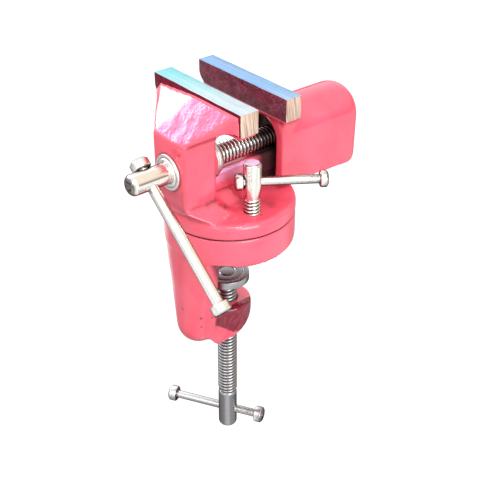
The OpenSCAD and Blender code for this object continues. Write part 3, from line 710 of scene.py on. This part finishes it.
def clamp_screw_piece():
    """Clamp screw along +Z: a plain head with a round lower end and a cross hole, the thread, a neck and the
    ball."""
    h, r = CLAMP_HEAD_TOP - CLAMP_Z0, CLAMP_HEAD_R
    head = rounded([(0, 0), (0, 3.6), (1.4, r), (h - 1.2, r), (h, 4.2), (h, 0)], 1.0, 7)
    shell = with_cross_hole(turned(head, 96), CLAMP_START, UP, SHORT_HOLE_R, r, CLAMP_CENTRE, CLAMP_WAY)
    screw = thread(h - 0.2, 92.5, SCREW_ROOT, SCREW_R, LEAD, (0.9, 0.9))
    t = np.linspace(-0.9, 1.0, 14)
    ball = np.stack([96.5 + 3.2 * np.sin(t * 1.1), 3.2 * np.cos(t * 1.1)], 1)
    neck = [(91.5, 0), (91.5, 2.2), (94, 2.2), *ball[2:], (99.4, 0)]
    return screw_of("clamp_screw_threaded", shell, [screw, turned(neck, 48)], CLAMP_START, UP)


def lock_screw_piece():
    """Lock screw along +Z: thread through the disc, and a head that tapers down to it, slightly domed on
    top."""
    top, r = 29.6 - LOCK_Z0, LOCK_HEAD_R
    head = [(top - 1.2, 0), (top - 1.2, 3.2), (top, 3.35), (top + 5.2, r)]
    head += [(30.75, r), (31.5, 3.3), (31.75, 0)]
    shell = with_cross_hole(
        turned(rounded(head, 0.8, 6), 96), LOCK_START, UP, SHORT_HOLE_R, r, LOCK_CENTRE, LOCK_WAY
    )
    screw = thread(0, top, LOCK_ROOT, LOCK_R, LOCK_LEAD, (0.3, 0.7), 56)
    return screw_of("lock_screw_threaded", shell, [screw], LOCK_START, UP)


def groove_values(piece, origin, axis, crest, depth, low, high, end, end_r):
    """Grooves of a thread between low and high along its axis: (crest - r) / depth, where r is the distance
    from the axis. The flat end before end gets one in dull, as far out as end_r."""
    p = places(piece.data) - np.array(origin, float)
    along = p @ np.array(axis, float)
    r = np.linalg.norm(p - along[:, None] * np.array(axis, float), axis=1)
    on_thread = (along > low) & (along < high)
    point_values(piece.data, "groove", np.clip((crest - r) / depth, 0, 1) * on_thread)
    point_values(piece.data, "dull", np.where(along < end, np.clip((end_r - r) / 0.5, 0, 1), 0))


def spindle_shade(x, y, z):
    """The screw's end under the hood, and the underside of its head."""
    underside = np.clip(((SPINDLE_Z - z) / HEAD_R - 0.45) / 0.3, 0, 1)
    return np.maximum((y - 4.0) / 13.0, 0.7 * underside * (y < -35.5))


def lock_top_sheen(x, y, z):
    """The domed end of the lock screw's head, which gets a painted violet sheen."""
    return (z - 46.35) / 0.15


spindle = spindle_piece()
clamp_screw = clamp_screw_piece()
lock_screw = lock_screw_piece()
groove_values(spindle, SPINDLE_START, ALONG_Y, SCREW_R, 0.7, 43.7, 105, 0.9, 4.3)
groove_values(clamp_screw, CLAMP_START, UP, SCREW_R, 0.7, 24.2, 92, 0.6, 3.6)
groove_values(lock_screw, LOCK_START, UP, LOCK_R, 0.65, 0, 13.6, -5, 3.0)
formula_values(spindle, "shade", spindle_shade)
formula_values(lock_screw, "pale", lock_top_sheen)
for piece, node, body in (
    (spindle, "spindle", "screw"),
    (clamp_screw, "clamp_screw", "clamp_spindle"),
    (lock_screw, "lock_screw", "lock"),
):
    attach(piece, body)
    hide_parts(node)


# Section: collar, washers, ring, pad
def ring_piece(name, node, body, loop, origin, axis, radius):
    """A ring turned from a loop of (s, r) points, with every edge rounded."""
    v, f = ring_turned(closed_rounded(loop, radius))
    piece = new_object(name, place(v, origin, axis), f)
    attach(piece, body)
    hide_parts(node)
    return piece


def flat_ring(t, outer, inner):
    """Loop of a flat ring from 0 to t, run so that its faces point outwards."""
    return [(0, inner), (0, outer), (t, outer), (t, inner)]


def collar_groove(x, y, z):
    """A fine dark ring on the collar's front."""
    return np.clip(1 - np.abs(np.hypot(x, z - SPINDLE_Z) - 6.75) / 0.3, 0, 1) * (y < -34.0)


RING_BORE = 4.9
collar = ring_piece(
    "pressed_collar", "spindle_collar", "screw",
    [(0, RING_BORE), (0, 6.0), (0.55, 6.6), (0.55, 8.0), (0.8, 8.25), (1.6, 8.25), (1.6, RING_BORE)],
    (0, COLLAR_Y0, SPINDLE_Z), ALONG_Y, 0.25,
)
formula_values(collar, "groove", collar_groove)
thrust_washer = ring_piece(
    "thrust_washer", "spindle_washer", "screw",
    flat_ring(1.1, 8.7, RING_BORE), (0, -12.95, SPINDLE_Z), ALONG_Y, 0.2,
)
snap_ring = ring_piece(
    "snap_ring", "retaining_ring", "screw",
    flat_ring(1.7, 8.4, RING_BORE), (0, -11.8, SPINDLE_Z), ALONG_Y, 0.4,
)
pivot_disc = ring_piece(
    "pivot_thrust_washer", "pivot_washer", "swivel",
    flat_ring(1.6, 9.5, 4.45), (0, 0, 5.35), UP, 0.25,
)


def pad_piece():
    """Clamp pad: a flat disc with two shallow turned grooves on top, over a round socket collar."""
    profile = [(-6.0, 0), (-6.0, 5.2), (-5.2, 6.0), (-4.6, 6.2), (-4.4, 9.6), (-3.8, 11.0), (0, 11.0)]
    profile += [(0, 8.6), (-0.35, 8.3), (-0.35, 7.9), (0, 7.6)]
    profile += [(0, 4.6), (-0.35, 4.3), (-0.35, 3.9), (0, 3.6), (0, 0)]
    v, f = turned(rounded(profile, 0.3, 4), 96)
    return new_object("swivel_pad", place(v, (0, CLAMP_Y, PAD_TOP), UP), f)


pad = pad_piece()
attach(pad, "pad")
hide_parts("clamp_pad")


# Section: T-bars
def bar_wear(p, centre, direction, near, far, knob_t, worn_end):
    """Dullness of a T-bar: 0.6 on the cut end at near, 0.9 on the near stop's inner face as painted shade,
    and
    0.85 over the last worn_end millimetres before far. Shade: painted shade on the underside, where a point
    lies low beside the bar's own axis."""
    d = np.asarray(direction, float)
    off = p - np.asarray(centre, float)
    along = off @ d
    across = off - along[:, None] * d
    r = np.linalg.norm(across, axis=1)
    # Painted shade on the near stop's inner face, beside the screw's head
    stop_face_shade = (np.abs(along - near - knob_t) < 0.35) * (r > 2.3)
    dull = np.maximum(0.6 * (along < near + 0.35), 0.9 * stop_face_shade)
    dull = np.maximum(dull, 0.85 * np.clip((along - far + worn_end) / 0.4, 0, 1))
    low = -across[:, 2] / np.maximum(r, 1e-6) / math.hypot(d[0], d[1])
    return np.clip(dull, 0, 1), 0.75 * np.clip((low - 0.25) / 0.4, 0, 1)


def t_bar(prefix, body, centre, direction, inner, length, rod_r, knob_r, knob_t, worn_end):
    """Rod and two stops along a direction: the near stop's centre lies inner before the screw's axis, the far
    one's length beyond that. worn_end is how much of the far stop is worn dark."""
    near, far = -inner - knob_t / 2, length - inner + knob_t / 2
    rod = [(near - 0.05, 0), (near - 0.05, rod_r - 0.5), (near + 0.3, rod_r)]
    rod += [(far - 0.3, rod_r), (far + 0.05, rod_r - 0.5), (far + 0.05, 0)]
    v, f = turned(rounded(rod, 0.25, 4), 48)
    made = [(new_object(prefix + "_rod", place(v, centre, direction), f), prefix)]
    h, hole_r = knob_t / 2, rod_r - 0.05
    stop = [(-h, hole_r), (-h, knob_r - 0.55), (-h + 0.5, knob_r), (h - 0.9, knob_r), (h, knob_r - 1.1)]
    stop += [(h - 0.3, rod_r + 0.1), (h - 0.3, hole_r)]
    for letter, at, outwards in (("a", -inner, -1), ("b", length - inner, 1)):
        v, f = ring_turned(closed_rounded(stop, 0.3, 5), 72)
        v[:, 2] *= outwards
        if outwards < 0:
            f = [q[:, ::-1] for q in f]
        v[:, 2] += at
        knob = new_object(f"{prefix}_stop_{letter}", place(v, centre, direction), f)
        made.append((knob, f"{prefix}_knob_{letter}"))
    for piece, node in made:
        dull, shade = bar_wear(places(piece.data), centre, direction, near, far, knob_t, worn_end)
        point_values(piece.data, "dull", dull)
        point_values(piece.data, "shade", shade)
        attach(piece, body)
        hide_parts(node)
    return [piece for piece, _ in made]


long_bar = t_bar(
    "spindle_bar", "screw_handle", LONG_CENTRE, LONG_WAY,
    inner=7.25, length=70.4, rod_r=2.6, knob_r=4.4, knob_t=4.6, worn_end=0.35,
)
lock_bar = t_bar(
    "lock_bar", "lock_handle", LOCK_CENTRE, LOCK_WAY,
    inner=6.1, length=37.9, rod_r=2.1, knob_r=3.9, knob_t=3.8, worn_end=1.5,
)
clamp_bar = t_bar(
    "clamp_bar", "clamp_handle", CLAMP_CENTRE, CLAMP_WAY,
    inner=31.6, length=49.6, rod_r=2.1, knob_r=4.2, knob_t=4.6, worn_end=2.4,
)


# Section: materials
def srgb(r, g, b):
    """A colour written as 0 to 255 display values, as the linear numbers that a socket takes."""
    c = np.array([r, g, b]) / 255.0
    lin = np.where(c <= 0.04045, c / 12.92, ((c + 0.055) / 1.055) ** 2.4)
    return (*lin.tolist(), 1.0)


class Graph:
    """Adds nodes to a tree. An input is named by its label, with _ for a space, or by i and its number, and
    takes a number, a colour, a vector or another node's socket."""

    def __init__(self, tree):
        self.tree = tree

    def node(self, kind, **inputs):
        """A new node: set holds its settings, and the rest are inputs."""
        n = self.tree.nodes.new(kind)
        for key, value in inputs.pop("set", {}).items():
            setattr(n, key, value)
        for key, value in inputs.items():
            self.put(n, key, value)
        return n

    def put(self, n, key, value):
        """Sets or links one input."""
        numbered = key[0] == "i" and key[1:].isdigit()
        socket = n.inputs[int(key[1:])] if numbered else n.inputs[key.replace("_", " ")]
        if isinstance(value, bpy.types.NodeSocket):
            self.tree.links.new(value, socket)
        else:
            socket.default_value = value

    def math(self, operation, a, b=None, clamp=False):
        """One operation on two values, or on one."""
        inputs = {"i0": a} if b is None else {"i0": a, "i1": b}
        settings = {"operation": operation, "use_clamp": clamp}
        return self.node("ShaderNodeMath", set=settings, **inputs).outputs[0]

    def times(self, a, b, clamp=False):
        """The product of two values."""
        return self.math("MULTIPLY", a, b, clamp)

    def plus(self, a, b):
        """The sum of two values."""
        return self.math("ADD", a, b)

    def vector(self, operation, output, **inputs):
        """One operation on vectors."""
        return self.node("ShaderNodeVectorMath", set={"operation": operation}, **inputs).outputs[output]

    def ramp(self, value, low, high, out_low=0.0, out_high=1.0):
        """A soft step from out_low to out_high as the value goes from low to high."""
        settings = {"interpolation_type": "SMOOTHSTEP"}
        n = self.node("ShaderNodeMapRange", set=settings, i0=value, i1=low, i2=high, i3=out_low, i4=out_high)
        return n.outputs[0]

    def noise(self, vector, scale, detail=2.0, rough=0.5, dims="3D"):
        """Noise of a place, or of one number if dims is 1D."""
        settings = {"noise_dimensions": dims}
        n = self.node("ShaderNodeTexNoise", set=settings, Scale=scale, Detail=detail, Roughness=rough)
        self.put(n, "Vector" if dims != "1D" else "W", vector)
        return n.outputs["Fac"]

    def mix(self, factor, a, b):
        """Colour a where the factor is nought, b where it is one."""
        return self.node("ShaderNodeMix", set={"data_type": "RGBA"}, i0=factor, i6=a, i7=b).outputs[2]

    def bump(self, height, strength, distance):
        """A normal tilted by a height."""
        return self.node("ShaderNodeBump", Strength=strength, Distance=distance, Height=height).outputs[0]

    def split(self, vector):
        """The three parts of a vector."""
        return self.node("ShaderNodeSeparateXYZ", Vector=vector).outputs


def group(name, inputs, outputs):
    """A shader node group with named sockets: (name, kind, default) in, (name, kind) out."""
    tree = bpy.data.node_groups.new(name, "ShaderNodeTree")
    for label, kind, default in inputs:
        s = tree.interface.new_socket(name=label, in_out="INPUT", socket_type=kind)
        if default is not None:
            s.default_value = default
    for label, kind in outputs:
        tree.interface.new_socket(name=label, in_out="OUTPUT", socket_type=kind)
    g = Graph(tree)
    return tree, g, tree.nodes.new("NodeGroupInput").outputs, tree.nodes.new("NodeGroupOutput")


FLOAT, VECTOR = "NodeSocketFloat", "NodeSocketVector"


def make_streaks():
    """Fine lines along one direction: noise of the position squeezed along Along by Stretch."""
    inputs = [("Position", VECTOR, None), ("Along", VECTOR, (1, 0, 0)), ("Scale", FLOAT, 2000.0)]
    tree, g, i, o = group("streaks", inputs + [("Stretch", FLOAT, 0.03)], [("Lines", FLOAT)])
    along = g.vector("DOT_PRODUCT", "Value", i0=i["Position"], i1=i["Along"])
    share = g.math("SUBTRACT", i["Stretch"], 1.0)
    pull = g.vector("SCALE", 0, i0=i["Along"], Scale=g.times(along, share))
    squeezed = g.vector("ADD", 0, i0=i["Position"], i1=pull)
    lines = g.noise(squeezed, i["Scale"], 3.0, 0.6)
    tree.links.new(lines, o.inputs["Lines"])
    return tree


def make_turning():
    """Turning marks: noise of the place along an axis, the same all round it."""
    inputs = [("Position", VECTOR, None), ("Axis", VECTOR, (0, 0, 1)), ("Scale", FLOAT, 3000.0)]
    tree, g, i, o = group("turning", inputs, [("Lines", FLOAT)])
    along = g.vector("DOT_PRODUCT", "Value", i0=i["Position"], i1=i["Axis"])
    lines = g.noise(g.times(along, i["Scale"]), 1.0, 4.0, 0.7, "1D")
    tree.links.new(lines, o.inputs["Lines"])
    return tree


def make_film():
    """A thin handled look: broad and small smudges in one mask."""
    tree, g, i, o = group("film", [("Position", VECTOR, None), ("Scale", FLOAT, 90.0)], [("Smudge", FLOAT)])
    broad = g.noise(i["Position"], i["Scale"], 3.0, 0.55)
    fine = g.noise(i["Position"], g.times(i["Scale"], 7.0), 4.0, 0.65)
    both = g.times(g.ramp(broad, 0.4, 0.62), g.ramp(fine, 0.42, 0.7))
    tree.links.new(both, o.inputs["Smudge"])
    return tree


STREAKS, TURNING, FILM = make_streaks(), make_turning(), make_film()


def material(name):
    """An empty material: its graph, its Principled shader and the place on the object."""
    m = bpy.data.materials.new(name)
    m.use_nodes = True
    m.node_tree.nodes.clear()
    g = Graph(m.node_tree)
    out = g.node("ShaderNodeOutputMaterial")
    shader = g.node("ShaderNodeBsdfPrincipled")
    m.node_tree.links.new(shader.outputs[0], out.inputs[0])
    where = g.node("ShaderNodeTexCoord").outputs["Object"]
    return m, g, shader, where


def placed(g, tree, **inputs):
    """A node group in a material, with its own values."""
    n = g.node("ShaderNodeGroup", set={"node_tree": tree})
    for key, value in inputs.items():
        g.put(n, key, value)
    return n.outputs[0]


def attribute(g, name):
    """An attribute of the mesh, nought where a piece has none of that name."""
    return g.node("ShaderNodeAttribute", set={"attribute_name": name}).outputs["Fac"]


def enamel_material():
    """Coral enamel: soft mottling, edges lighter as a partial painted highlight, painted shade in corners,
    creases, hollows and under parts, dark seams and lines, rubbed spots with a painted sheen, peel, chips."""
    m, g, s, where = material("coral_enamel")
    body = g.noise(where, 55.0, 3.0, 0.55)
    colour = g.mix(g.ramp(body, 0.35, 0.68), srgb(245, 87, 106), srgb(249, 98, 118))
    # Convex edges a little lighter: thinner enamel there, and partly a painted highlight
    colour = g.mix(g.times(attribute(g, "edge"), 0.12), colour, srgb(252, 130, 146))
    patch_noise = g.noise(where, 420.0, 4.0, 0.65)
    # Painted shade in concave corners, broken into patches by a noise
    corner = g.times(attribute(g, "corner"), g.ramp(patch_noise, 0.35, 0.65, 0.35, 0.9))
    colour = g.mix(corner, colour, srgb(150, 24, 42))
    # Dark seams and lines, and painted shade in creases, under parts and round the collar
    joint_and_shade_mask = g.times(attribute(g, "grime_and_painted_shade"), g.ramp(patch_noise, 0.3, 0.6, 0.55, 1.0), True)
    colour = g.mix(joint_and_shade_mask, colour, srgb(84, 14, 24))
    # Painted shade on the leg's inner side and the arm's side, broken by scraped streaks
    scraped = placed(g, STREAKS, Position=where, Along=(0.2, 0.6, 0.77), Scale=1500.0, Stretch=0.08)
    throat_shade = g.times(attribute(g, "thin"), g.ramp(scraped, 0.52, 0.7, 1.0, 0.6))
    colour = g.mix(throat_shade, colour, srgb(122, 8, 38))
    # Painted shade inside the hood, the head's mouth and on the covered rail
    inner = attribute(g, "inside")
    colour = g.mix(inner, colour, srgb(58, 8, 16))
    off_seam = g.math("ABSOLUTE", g.math("SUBTRACT", g.split(where)[2], SEAM * MM))
    colour = g.mix(g.ramp(off_seam, 0.0002, 0.00045, 1.0, 0.0), colour, srgb(84, 8, 18))
    # Rubbed pale rail edges with a painted violet sheen
    colour = g.mix(attribute(g, "rubbed_with_sheen"), colour, srgb(242, 196, 242))
    ragged = g.ramp(g.noise(where, 2600.0, 2.0), 0.3, 0.5, 0.3, 1.0)
    chip = g.times(attribute(g, "chip"), ragged, True)
    colour = g.mix(chip, colour, srgb(96, 44, 44))
    g.put(s, "Base Color", colour)
    smudge = placed(g, FILM, Position=where, Scale=60.0)
    matt = g.times(g.math("MAXIMUM", inner, joint_and_shade_mask), 0.75)
    g.put(s, "Roughness", g.plus(g.plus(g.times(smudge, 0.12), matt), 0.1))
    g.put(s, "Specular IOR Level", 0.6)
    peel = g.noise(where, 650.0, 2.0, 0.5)
    sand = g.noise(where, 150.0, 3.0, 0.5)
    height = g.plus(g.times(peel, 0.35), sand)
    height = g.math("SUBTRACT", height, g.times(chip, 0.8))
    g.put(s, "Normal", g.bump(height, 0.5, 0.0003))
    return m


def ground_material():
    """Ground steel: grinding lines along the bar, with a painted cold sky reflection that fades towards its
    +X end.
    """
    m, g, s, where = material("ground_steel")
    fine = placed(g, STREAKS, Position=where, Along=(1, 0, 0), Scale=2600.0, Stretch=0.012)
    broad = placed(g, STREAKS, Position=where, Along=(1, 0, 0), Scale=620.0, Stretch=0.03)
    lines = g.plus(g.times(fine, 0.6), g.times(broad, 0.4))
    at = g.split(where)
    # Painted cold sky reflection in the colour, fading to a neutral grey towards +X
    fade = g.plus(g.times(at[0], 12.0), g.times(at[1], -22.0))
    cold_sky_reflection = g.mix(g.ramp(at[1], -0.004, 0.006), srgb(132, 208, 212), srgb(142, 176, 216))
    tint = g.mix(g.ramp(g.plus(fade, 0.42), 0.3, 1.0), cold_sky_reflection, srgb(214, 218, 218))
    g.put(s, "Base Color", g.mix(g.ramp(lines, 0.3, 0.6, 0.5, 0.0), tint, srgb(98, 120, 148)))
    g.put(s, "Metallic", 1.0)
    smudge = placed(g, FILM, Position=where, Scale=110.0)
    g.put(s, "Roughness", g.plus(g.times(g.plus(lines, smudge), 0.14), 0.24))
    g.put(s, "Normal", g.bump(lines, 0.4, 0.00008))
    return m


def sawn_material():
    """Sawn bar ends: pale warm steel under near upright saw lines, each a thin dark scratch."""
    m, g, s, where = material("sawn_steel")
    saw = placed(g, STREAKS, Position=where, Along=(0, -0.13, 0.9915), Scale=2500.0, Stretch=0.02)
    broad = placed(g, STREAKS, Position=where, Along=(0, -0.2, 0.9798), Scale=700.0, Stretch=0.05)
    colour = g.mix(g.ramp(broad, 0.35, 0.65), srgb(206, 174, 152), srgb(236, 208, 188))
    colour = g.mix(g.ramp(saw, 0.4, 0.5, 0.75, 0.0), colour, srgb(122, 92, 72))
    g.put(s, "Base Color", colour)
    g.put(s, "Metallic", 0.55)
    g.put(s, "Roughness", g.plus(g.times(saw, 0.2), 0.35))
    g.put(s, "Normal", g.bump(saw, 0.6, 0.00015))
    return m


def face_material(name, worn, shine):
    """Long faces of the bars: thin dark lacquer over a fine crossed hatch, where worn is how much of the
    hatch shows and shine is the lacquer's specular level."""
    m, g, s, where = material(name)
    one = placed(g, STREAKS, Position=where, Along=(0.78, 0, 0.6258), Scale=3200.0, Stretch=0.14)
    two = placed(g, STREAKS, Position=where, Along=(0.86, 0, -0.5103), Scale=2800.0, Stretch=0.14)
    hatch = g.math("MAXIMUM", g.ramp(one, 0.5, 0.66), g.ramp(two, 0.54, 0.68))
    patch = g.ramp(g.noise(where, 130.0, 3.0, 0.6), 0.35, 0.65, 0.35, 1.0)
    shown = g.times(g.times(hatch, patch), worn, True)
    lacquer = g.mix(g.ramp(g.noise(where, 260.0, 3.0), 0.35, 0.65), srgb(92, 6, 28), srgb(122, 14, 44))
    g.put(s, "Base Color", g.mix(shown, lacquer, srgb(168, 122, 142)))
    g.put(s, "Metallic", g.times(shown, 0.6))
    g.put(s, "Roughness", g.plus(g.times(hatch, 0.12), 0.34))
    g.put(s, "Specular IOR Level", shine)
    g.put(s, "Normal", g.bump(hatch, 0.5, 0.00012))
    return m


def plated_material(name, axis, colour=(244, 240, 234), rough=0.14, lines=2600.0, shade=0.72):
    """Plated steel with turning marks round its own axis, a little handled film, darker deep in the grooves
    of its thread, dull worn ends, a pale end with a painted violet sheen, and painted shade where an
    attribute says shade."""
    m, g, s, where = material(name)
    marks = placed(g, TURNING, Position=where, Axis=tuple(axis), Scale=lines)
    smudge = placed(g, FILM, Position=where, Scale=140.0)
    dark = tuple(c * shade for c in srgb(*colour)[:3]) + (1.0,)
    tone = g.mix(g.ramp(marks, 0.3, 0.7, 0.0, 0.4), srgb(*colour), dark)
    tone = g.mix(g.times(smudge, 0.2), tone, srgb(186, 158, 134))
    # Darker deep in the thread's grooves
    groove = g.ramp(attribute(g, "groove"), 0.35, 0.9)
    tone = g.mix(g.times(groove, 0.92), tone, srgb(50, 36, 30))
    end = attribute(g, "dull")
    worn = g.ramp(g.noise(where, 900.0, 3.0, 0.6), 0.35, 0.6, 1.0, 0.6)
    tone = g.mix(g.times(end, worn), tone, srgb(66, 56, 50))
    # Painted violet sheen on a satin pale end
    pale = attribute(g, "pale")
    tone = g.mix(g.times(pale, 0.9), tone, srgb(236, 206, 240))
    tone = g.mix(g.times(attribute(g, "shade"), 0.94), tone, srgb(34, 16, 15))
    g.put(s, "Base Color", tone)
    g.put(s, "Metallic", g.math("SUBTRACT", 1.0, g.times(pale, 0.9)))
    wear = g.plus(g.times(smudge, 0.12), g.times(marks, 0.06))
    wear = g.plus(wear, g.times(g.math("MAXIMUM", end, groove), 0.22))
    wear = g.plus(wear, g.times(pale, 0.5))
    g.put(s, "Specular Tint", (0.25, 0.19, 0.17, 1))
    g.put(s, "Roughness", g.plus(wear, rough))
    g.put(s, "Normal", g.bump(marks, 0.1, 0.00008))
    return m


def paint(pieces, *materials):
    """Gives every piece these materials and keeps the slot each of its faces has."""
    for piece in pieces:
        slots = np.zeros(len(piece.data.polygons), np.int32)
        piece.data.polygons.foreach_get("material_index", slots)
        piece.data.materials.clear()
        for m in materials:
            piece.data.materials.append(m)
        piece.data.polygons.foreach_set("material_index", np.minimum(slots, len(materials) - 1))


DARKER, SATIN, OILED_AND_SHADED = (172, 171, 173), (250, 248, 244), (58, 48, 46)
enamel = enamel_material()
ground, sawn = ground_material(), sawn_material()
lacquered = face_material("lacquered_face", 0.1, 0.1)
gripping = face_material("gripping_face", 0.6, 0.4)
paint([cast_swivel, cast_jaw, cast_base], enamel)
paint([fixed_bar], ground, sawn, lacquered, gripping)
paint([moving_bar], ground, sawn, gripping, lacquered)
paint([spindle], plated_material("plated_along_spindle", ALONG_Y))
paint([collar, thrust_washer, snap_ring], plated_material("satin_rings", ALONG_Y, SATIN, 0.36))
paint([lock_screw], plated_material("plated_upright", UP))
paint([clamp_screw, pad], plated_material("worn_upright", UP, DARKER, 0.24, 2200.0, 0.6))
paint(long_bar, plated_material("plated_long_bar", LONG_WAY))
paint(lock_bar, plated_material("plated_lock_bar", LOCK_WAY))
paint(clamp_bar, plated_material("worn_clamp_bar", CLAMP_WAY, (236, 232, 234), 0.16, 2200.0, 0.6))
# Steel with oil, made darker still as painted shade for the nut seen in the hood's mouth
oiled_and_shaded = plated_material("oiled_steel_in_shade", UP, OILED_AND_SHADED, 0.4)
paint([pivot_disc], oiled_and_shaded)
for node in ("pivot_bolt", "spindle_nut", "nut_pin"):
    NODES[node].data.materials.clear()
    NODES[node].data.materials.append(oiled_and_shaded)


# Section: floor, light and camera
def sectors(g, turn, shades):
    """Grey by the turn round the object, from a list of (degrees, shade)."""
    ring = g.node("ShaderNodeValToRGB", Fac=turn)
    for k, (degrees, shade) in enumerate(shades):
        stops = ring.color_ramp.elements
        stop = stops[k] if k < 2 else stops.new(1.0)
        stop.position, stop.color = (degrees + 180) / 360, (shade, shade, shade, 1)
    return ring.outputs[0]


FLOOR_Z, FLOOR_HALF = -131, 3000
# What metal sees of the floor, as (degrees round the object, shade)
FAR_SHADES = [(-180, 0.9), (-170, 0.8), (-163, 0.3), (-128, 0.3), (-112, 0.9), (-75, 0.9), (-55, 0.6)]
FAR_SHADES += [(-38, 1.0), (-15, 1.0), (10, 0.75), (35, 1.0), (68, 0.9), (84, 0.15), (155, 0.1)]
FAR_SHADES += [(163, 0.9), (180, 0.9)]
NEAR_SHADES = [(-180, 0.12), (-85, 0.2), (-55, 0.95), (-32, 1.0), (-12, 0.35), (40, 0.45), (62, 0.1)]
NEAR_SHADES += [(180, 0.1)]


def floor_piece():
    """A pale floor that keeps the shadow. Metal mirrors it in lighter and darker sectors, as it does the
    objects round a real one. The sectors near the object and far from it differ."""
    corners = [(x * FLOOR_HALF, y * FLOOR_HALF, FLOOR_Z) for x, y in ((-1, -1), (1, -1), (1, 1), (-1, 1))]
    floor = new_object("floor", np.array(corners, float), [np.array([[0, 1, 2, 3]])])
    m = bpy.data.materials.new("pale_floor")
    m.use_nodes = True
    g = Graph(m.node_tree)
    s = m.node_tree.nodes["Principled BSDF"]
    g.put(s, "Base Color", (0.22, 0.22, 0.22, 1))
    g.put(s, "Roughness", 0.9)
    g.put(s, "Specular IOR Level", 0.1)
    path = g.node("ShaderNodeLightPath").outputs
    at = g.split(g.node("ShaderNodeTexCoord").outputs["Object"])
    turn = g.plus(g.math("DIVIDE", g.math("ARCTAN2", at[1], at[0]), 2 * math.pi), 0.5)
    flat = g.node("ShaderNodeCombineXYZ", X=at[0], Y=at[1]).outputs[0]
    reach = g.ramp(g.vector("LENGTH", "Value", i0=flat), 0.09, 0.16)
    mirrored = g.mix(reach, sectors(g, turn, NEAR_SHADES), sectors(g, turn, FAR_SHADES))
    seen = g.math("MAXIMUM", path["Is Camera Ray"], g.times(path["Is Glossy Ray"], mirrored))
    g.put(s, "Emission Color", (1, 1, 1, 1))
    g.put(s, "Emission Strength", g.times(seen, 0.88))
    paint([floor], m)
    return floor


def area(name, where, target, size, power, colour=(1, 1, 1), height=None, across=None):
    """A soft lamp in metres that faces a target: a square, or size wide along across and height high."""
    light = bpy.data.lights.new(name, "AREA")
    light.shape, light.size, light.size_y = "RECTANGLE", size, height or size
    light.energy, light.color = power, colour
    back = (Vector(where) - Vector(target)).normalized()
    x = Vector(across) if across else Vector((0, 0, 1)).cross(back)
    x = (x - back * x.dot(back)).normalized()
    obj = bpy.data.objects.new(name, light)
    obj.matrix_world = Matrix.Translation(where) @ Matrix((x, back.cross(x), back)).transposed().to_4x4()
    bpy.context.scene.collection.objects.link(obj)
    return obj


def studio():
    """A soft white room that is warmer and dimmer at its horizon, with soft lamps on the right, in front and
    above. The camera sees it white. Metal mirrors its warm right and back, its cold left and its dark
    skirting, and the head's slope mirrors a white pane at the left with a narrow violet one next to it."""
    world = bpy.data.worlds.new("studio")
    world.use_nodes = True
    bpy.context.scene.world = world
    g = Graph(world.node_tree)
    back = world.node_tree.nodes["Background"]
    way = g.split(g.node("ShaderNodeTexCoord").outputs["Generated"])
    plain = g.mix(g.ramp(way[2], 0.0, 0.22), (0.66, 0.58, 0.55, 1), (0.98, 0.99, 1.0, 1))
    low = g.mix(g.ramp(way[2], 0.0, 0.22), (0.20, 0.13, 0.09, 1), (0.66, 0.52, 0.38, 1))
    warm = g.mix(g.ramp(way[2], 0.18, 0.45), low, (1.24, 1.12, 0.96, 1))
    mirrored = g.mix(g.ramp(way[1], -0.1, 0.4), (1.12, 1.1, 1.08, 1), warm)
    cold = g.mix(g.ramp(way[2], 0.02, 0.22), (0.30, 0.34, 0.42, 1), (1.55, 1.7, 1.75, 1))
    mirrored = g.mix(g.ramp(way[0], -0.55, -0.1), cold, mirrored)
    path = g.node("ShaderNodeLightPath").outputs
    lit = g.mix(path["Is Glossy Ray"], plain, mirrored)
    g.put(back, "Color", g.mix(path["Is Camera Ray"], lit, (1.08, 1.08, 1.08, 1)))
    back.inputs["Strength"].default_value = 0.9
    area("right", (1.05, -0.15, 0.34), (0, 0, 0.03), 0.6, 8.2, (0.96, 1.0, 1.1))
    area("front", (0.25, -0.95, 0.6), (0, 0, 0.03), 0.5, 2.5, (1.0, 0.98, 0.97))
    area("above", (0.42, -0.14, 1.0), (0, 0, 0.03), 0.5, 2.4)
    area("spark", (0.52, -0.18, 0.88), (0, 0, 0.03), 0.14, 1.1)
    slope, along = (0.0, -0.025, 0.068), (0.711, -0.578, 0.400)
    area("pane", (-0.858, -0.372, 0.491), slope, 0.32, 2.6, (1.0, 0.95, 1.0), 0.22, along)
    area("violet_pane", (-0.724, -0.481, 0.567), slope, 0.085, 0.5, (0.62, 0.34, 1.0), 0.26, along)


# Angles of the camera in degrees, its distance and shift in millimetres
AZIMUTH, ELEVATION, ROLL = 49.66, 33.04, 0.54
DISTANCE, SHIFT_RIGHT, SHIFT_DOWN = 433.32, 9.76, 8.13
LENS, SENSOR = 65.304, 36.0


def camera():
    """The camera that fits the photographed view."""
    az, el, roll = (math.radians(v) for v in (AZIMUTH, ELEVATION, ROLL))
    back = Vector((math.sin(az) * math.cos(el), -math.cos(az) * math.cos(el), math.sin(el)))
    right = Vector((math.cos(az), math.sin(az), 0))
    up = back.cross(right)
    r = right * math.cos(roll) + up * math.sin(roll)
    u = up * math.cos(roll) - right * math.sin(roll)
    data = bpy.data.cameras.new("camera")
    data.lens, data.sensor_width = LENS, SENSOR
    data.clip_start, data.clip_end = 0.02, 20.0
    cam = bpy.data.objects.new("camera", data)
    place_at = (r * SHIFT_RIGHT - u * SHIFT_DOWN + back * DISTANCE) * MM
    cam.matrix_world = Matrix.Translation(place_at) @ Matrix((r, u, back)).transposed().to_4x4()
    bpy.context.scene.collection.objects.link(cam)
    bpy.context.scene.camera = cam


floor_piece()
studio()
camera()
bpy.context.scene.view_settings.view_transform = "Standard"
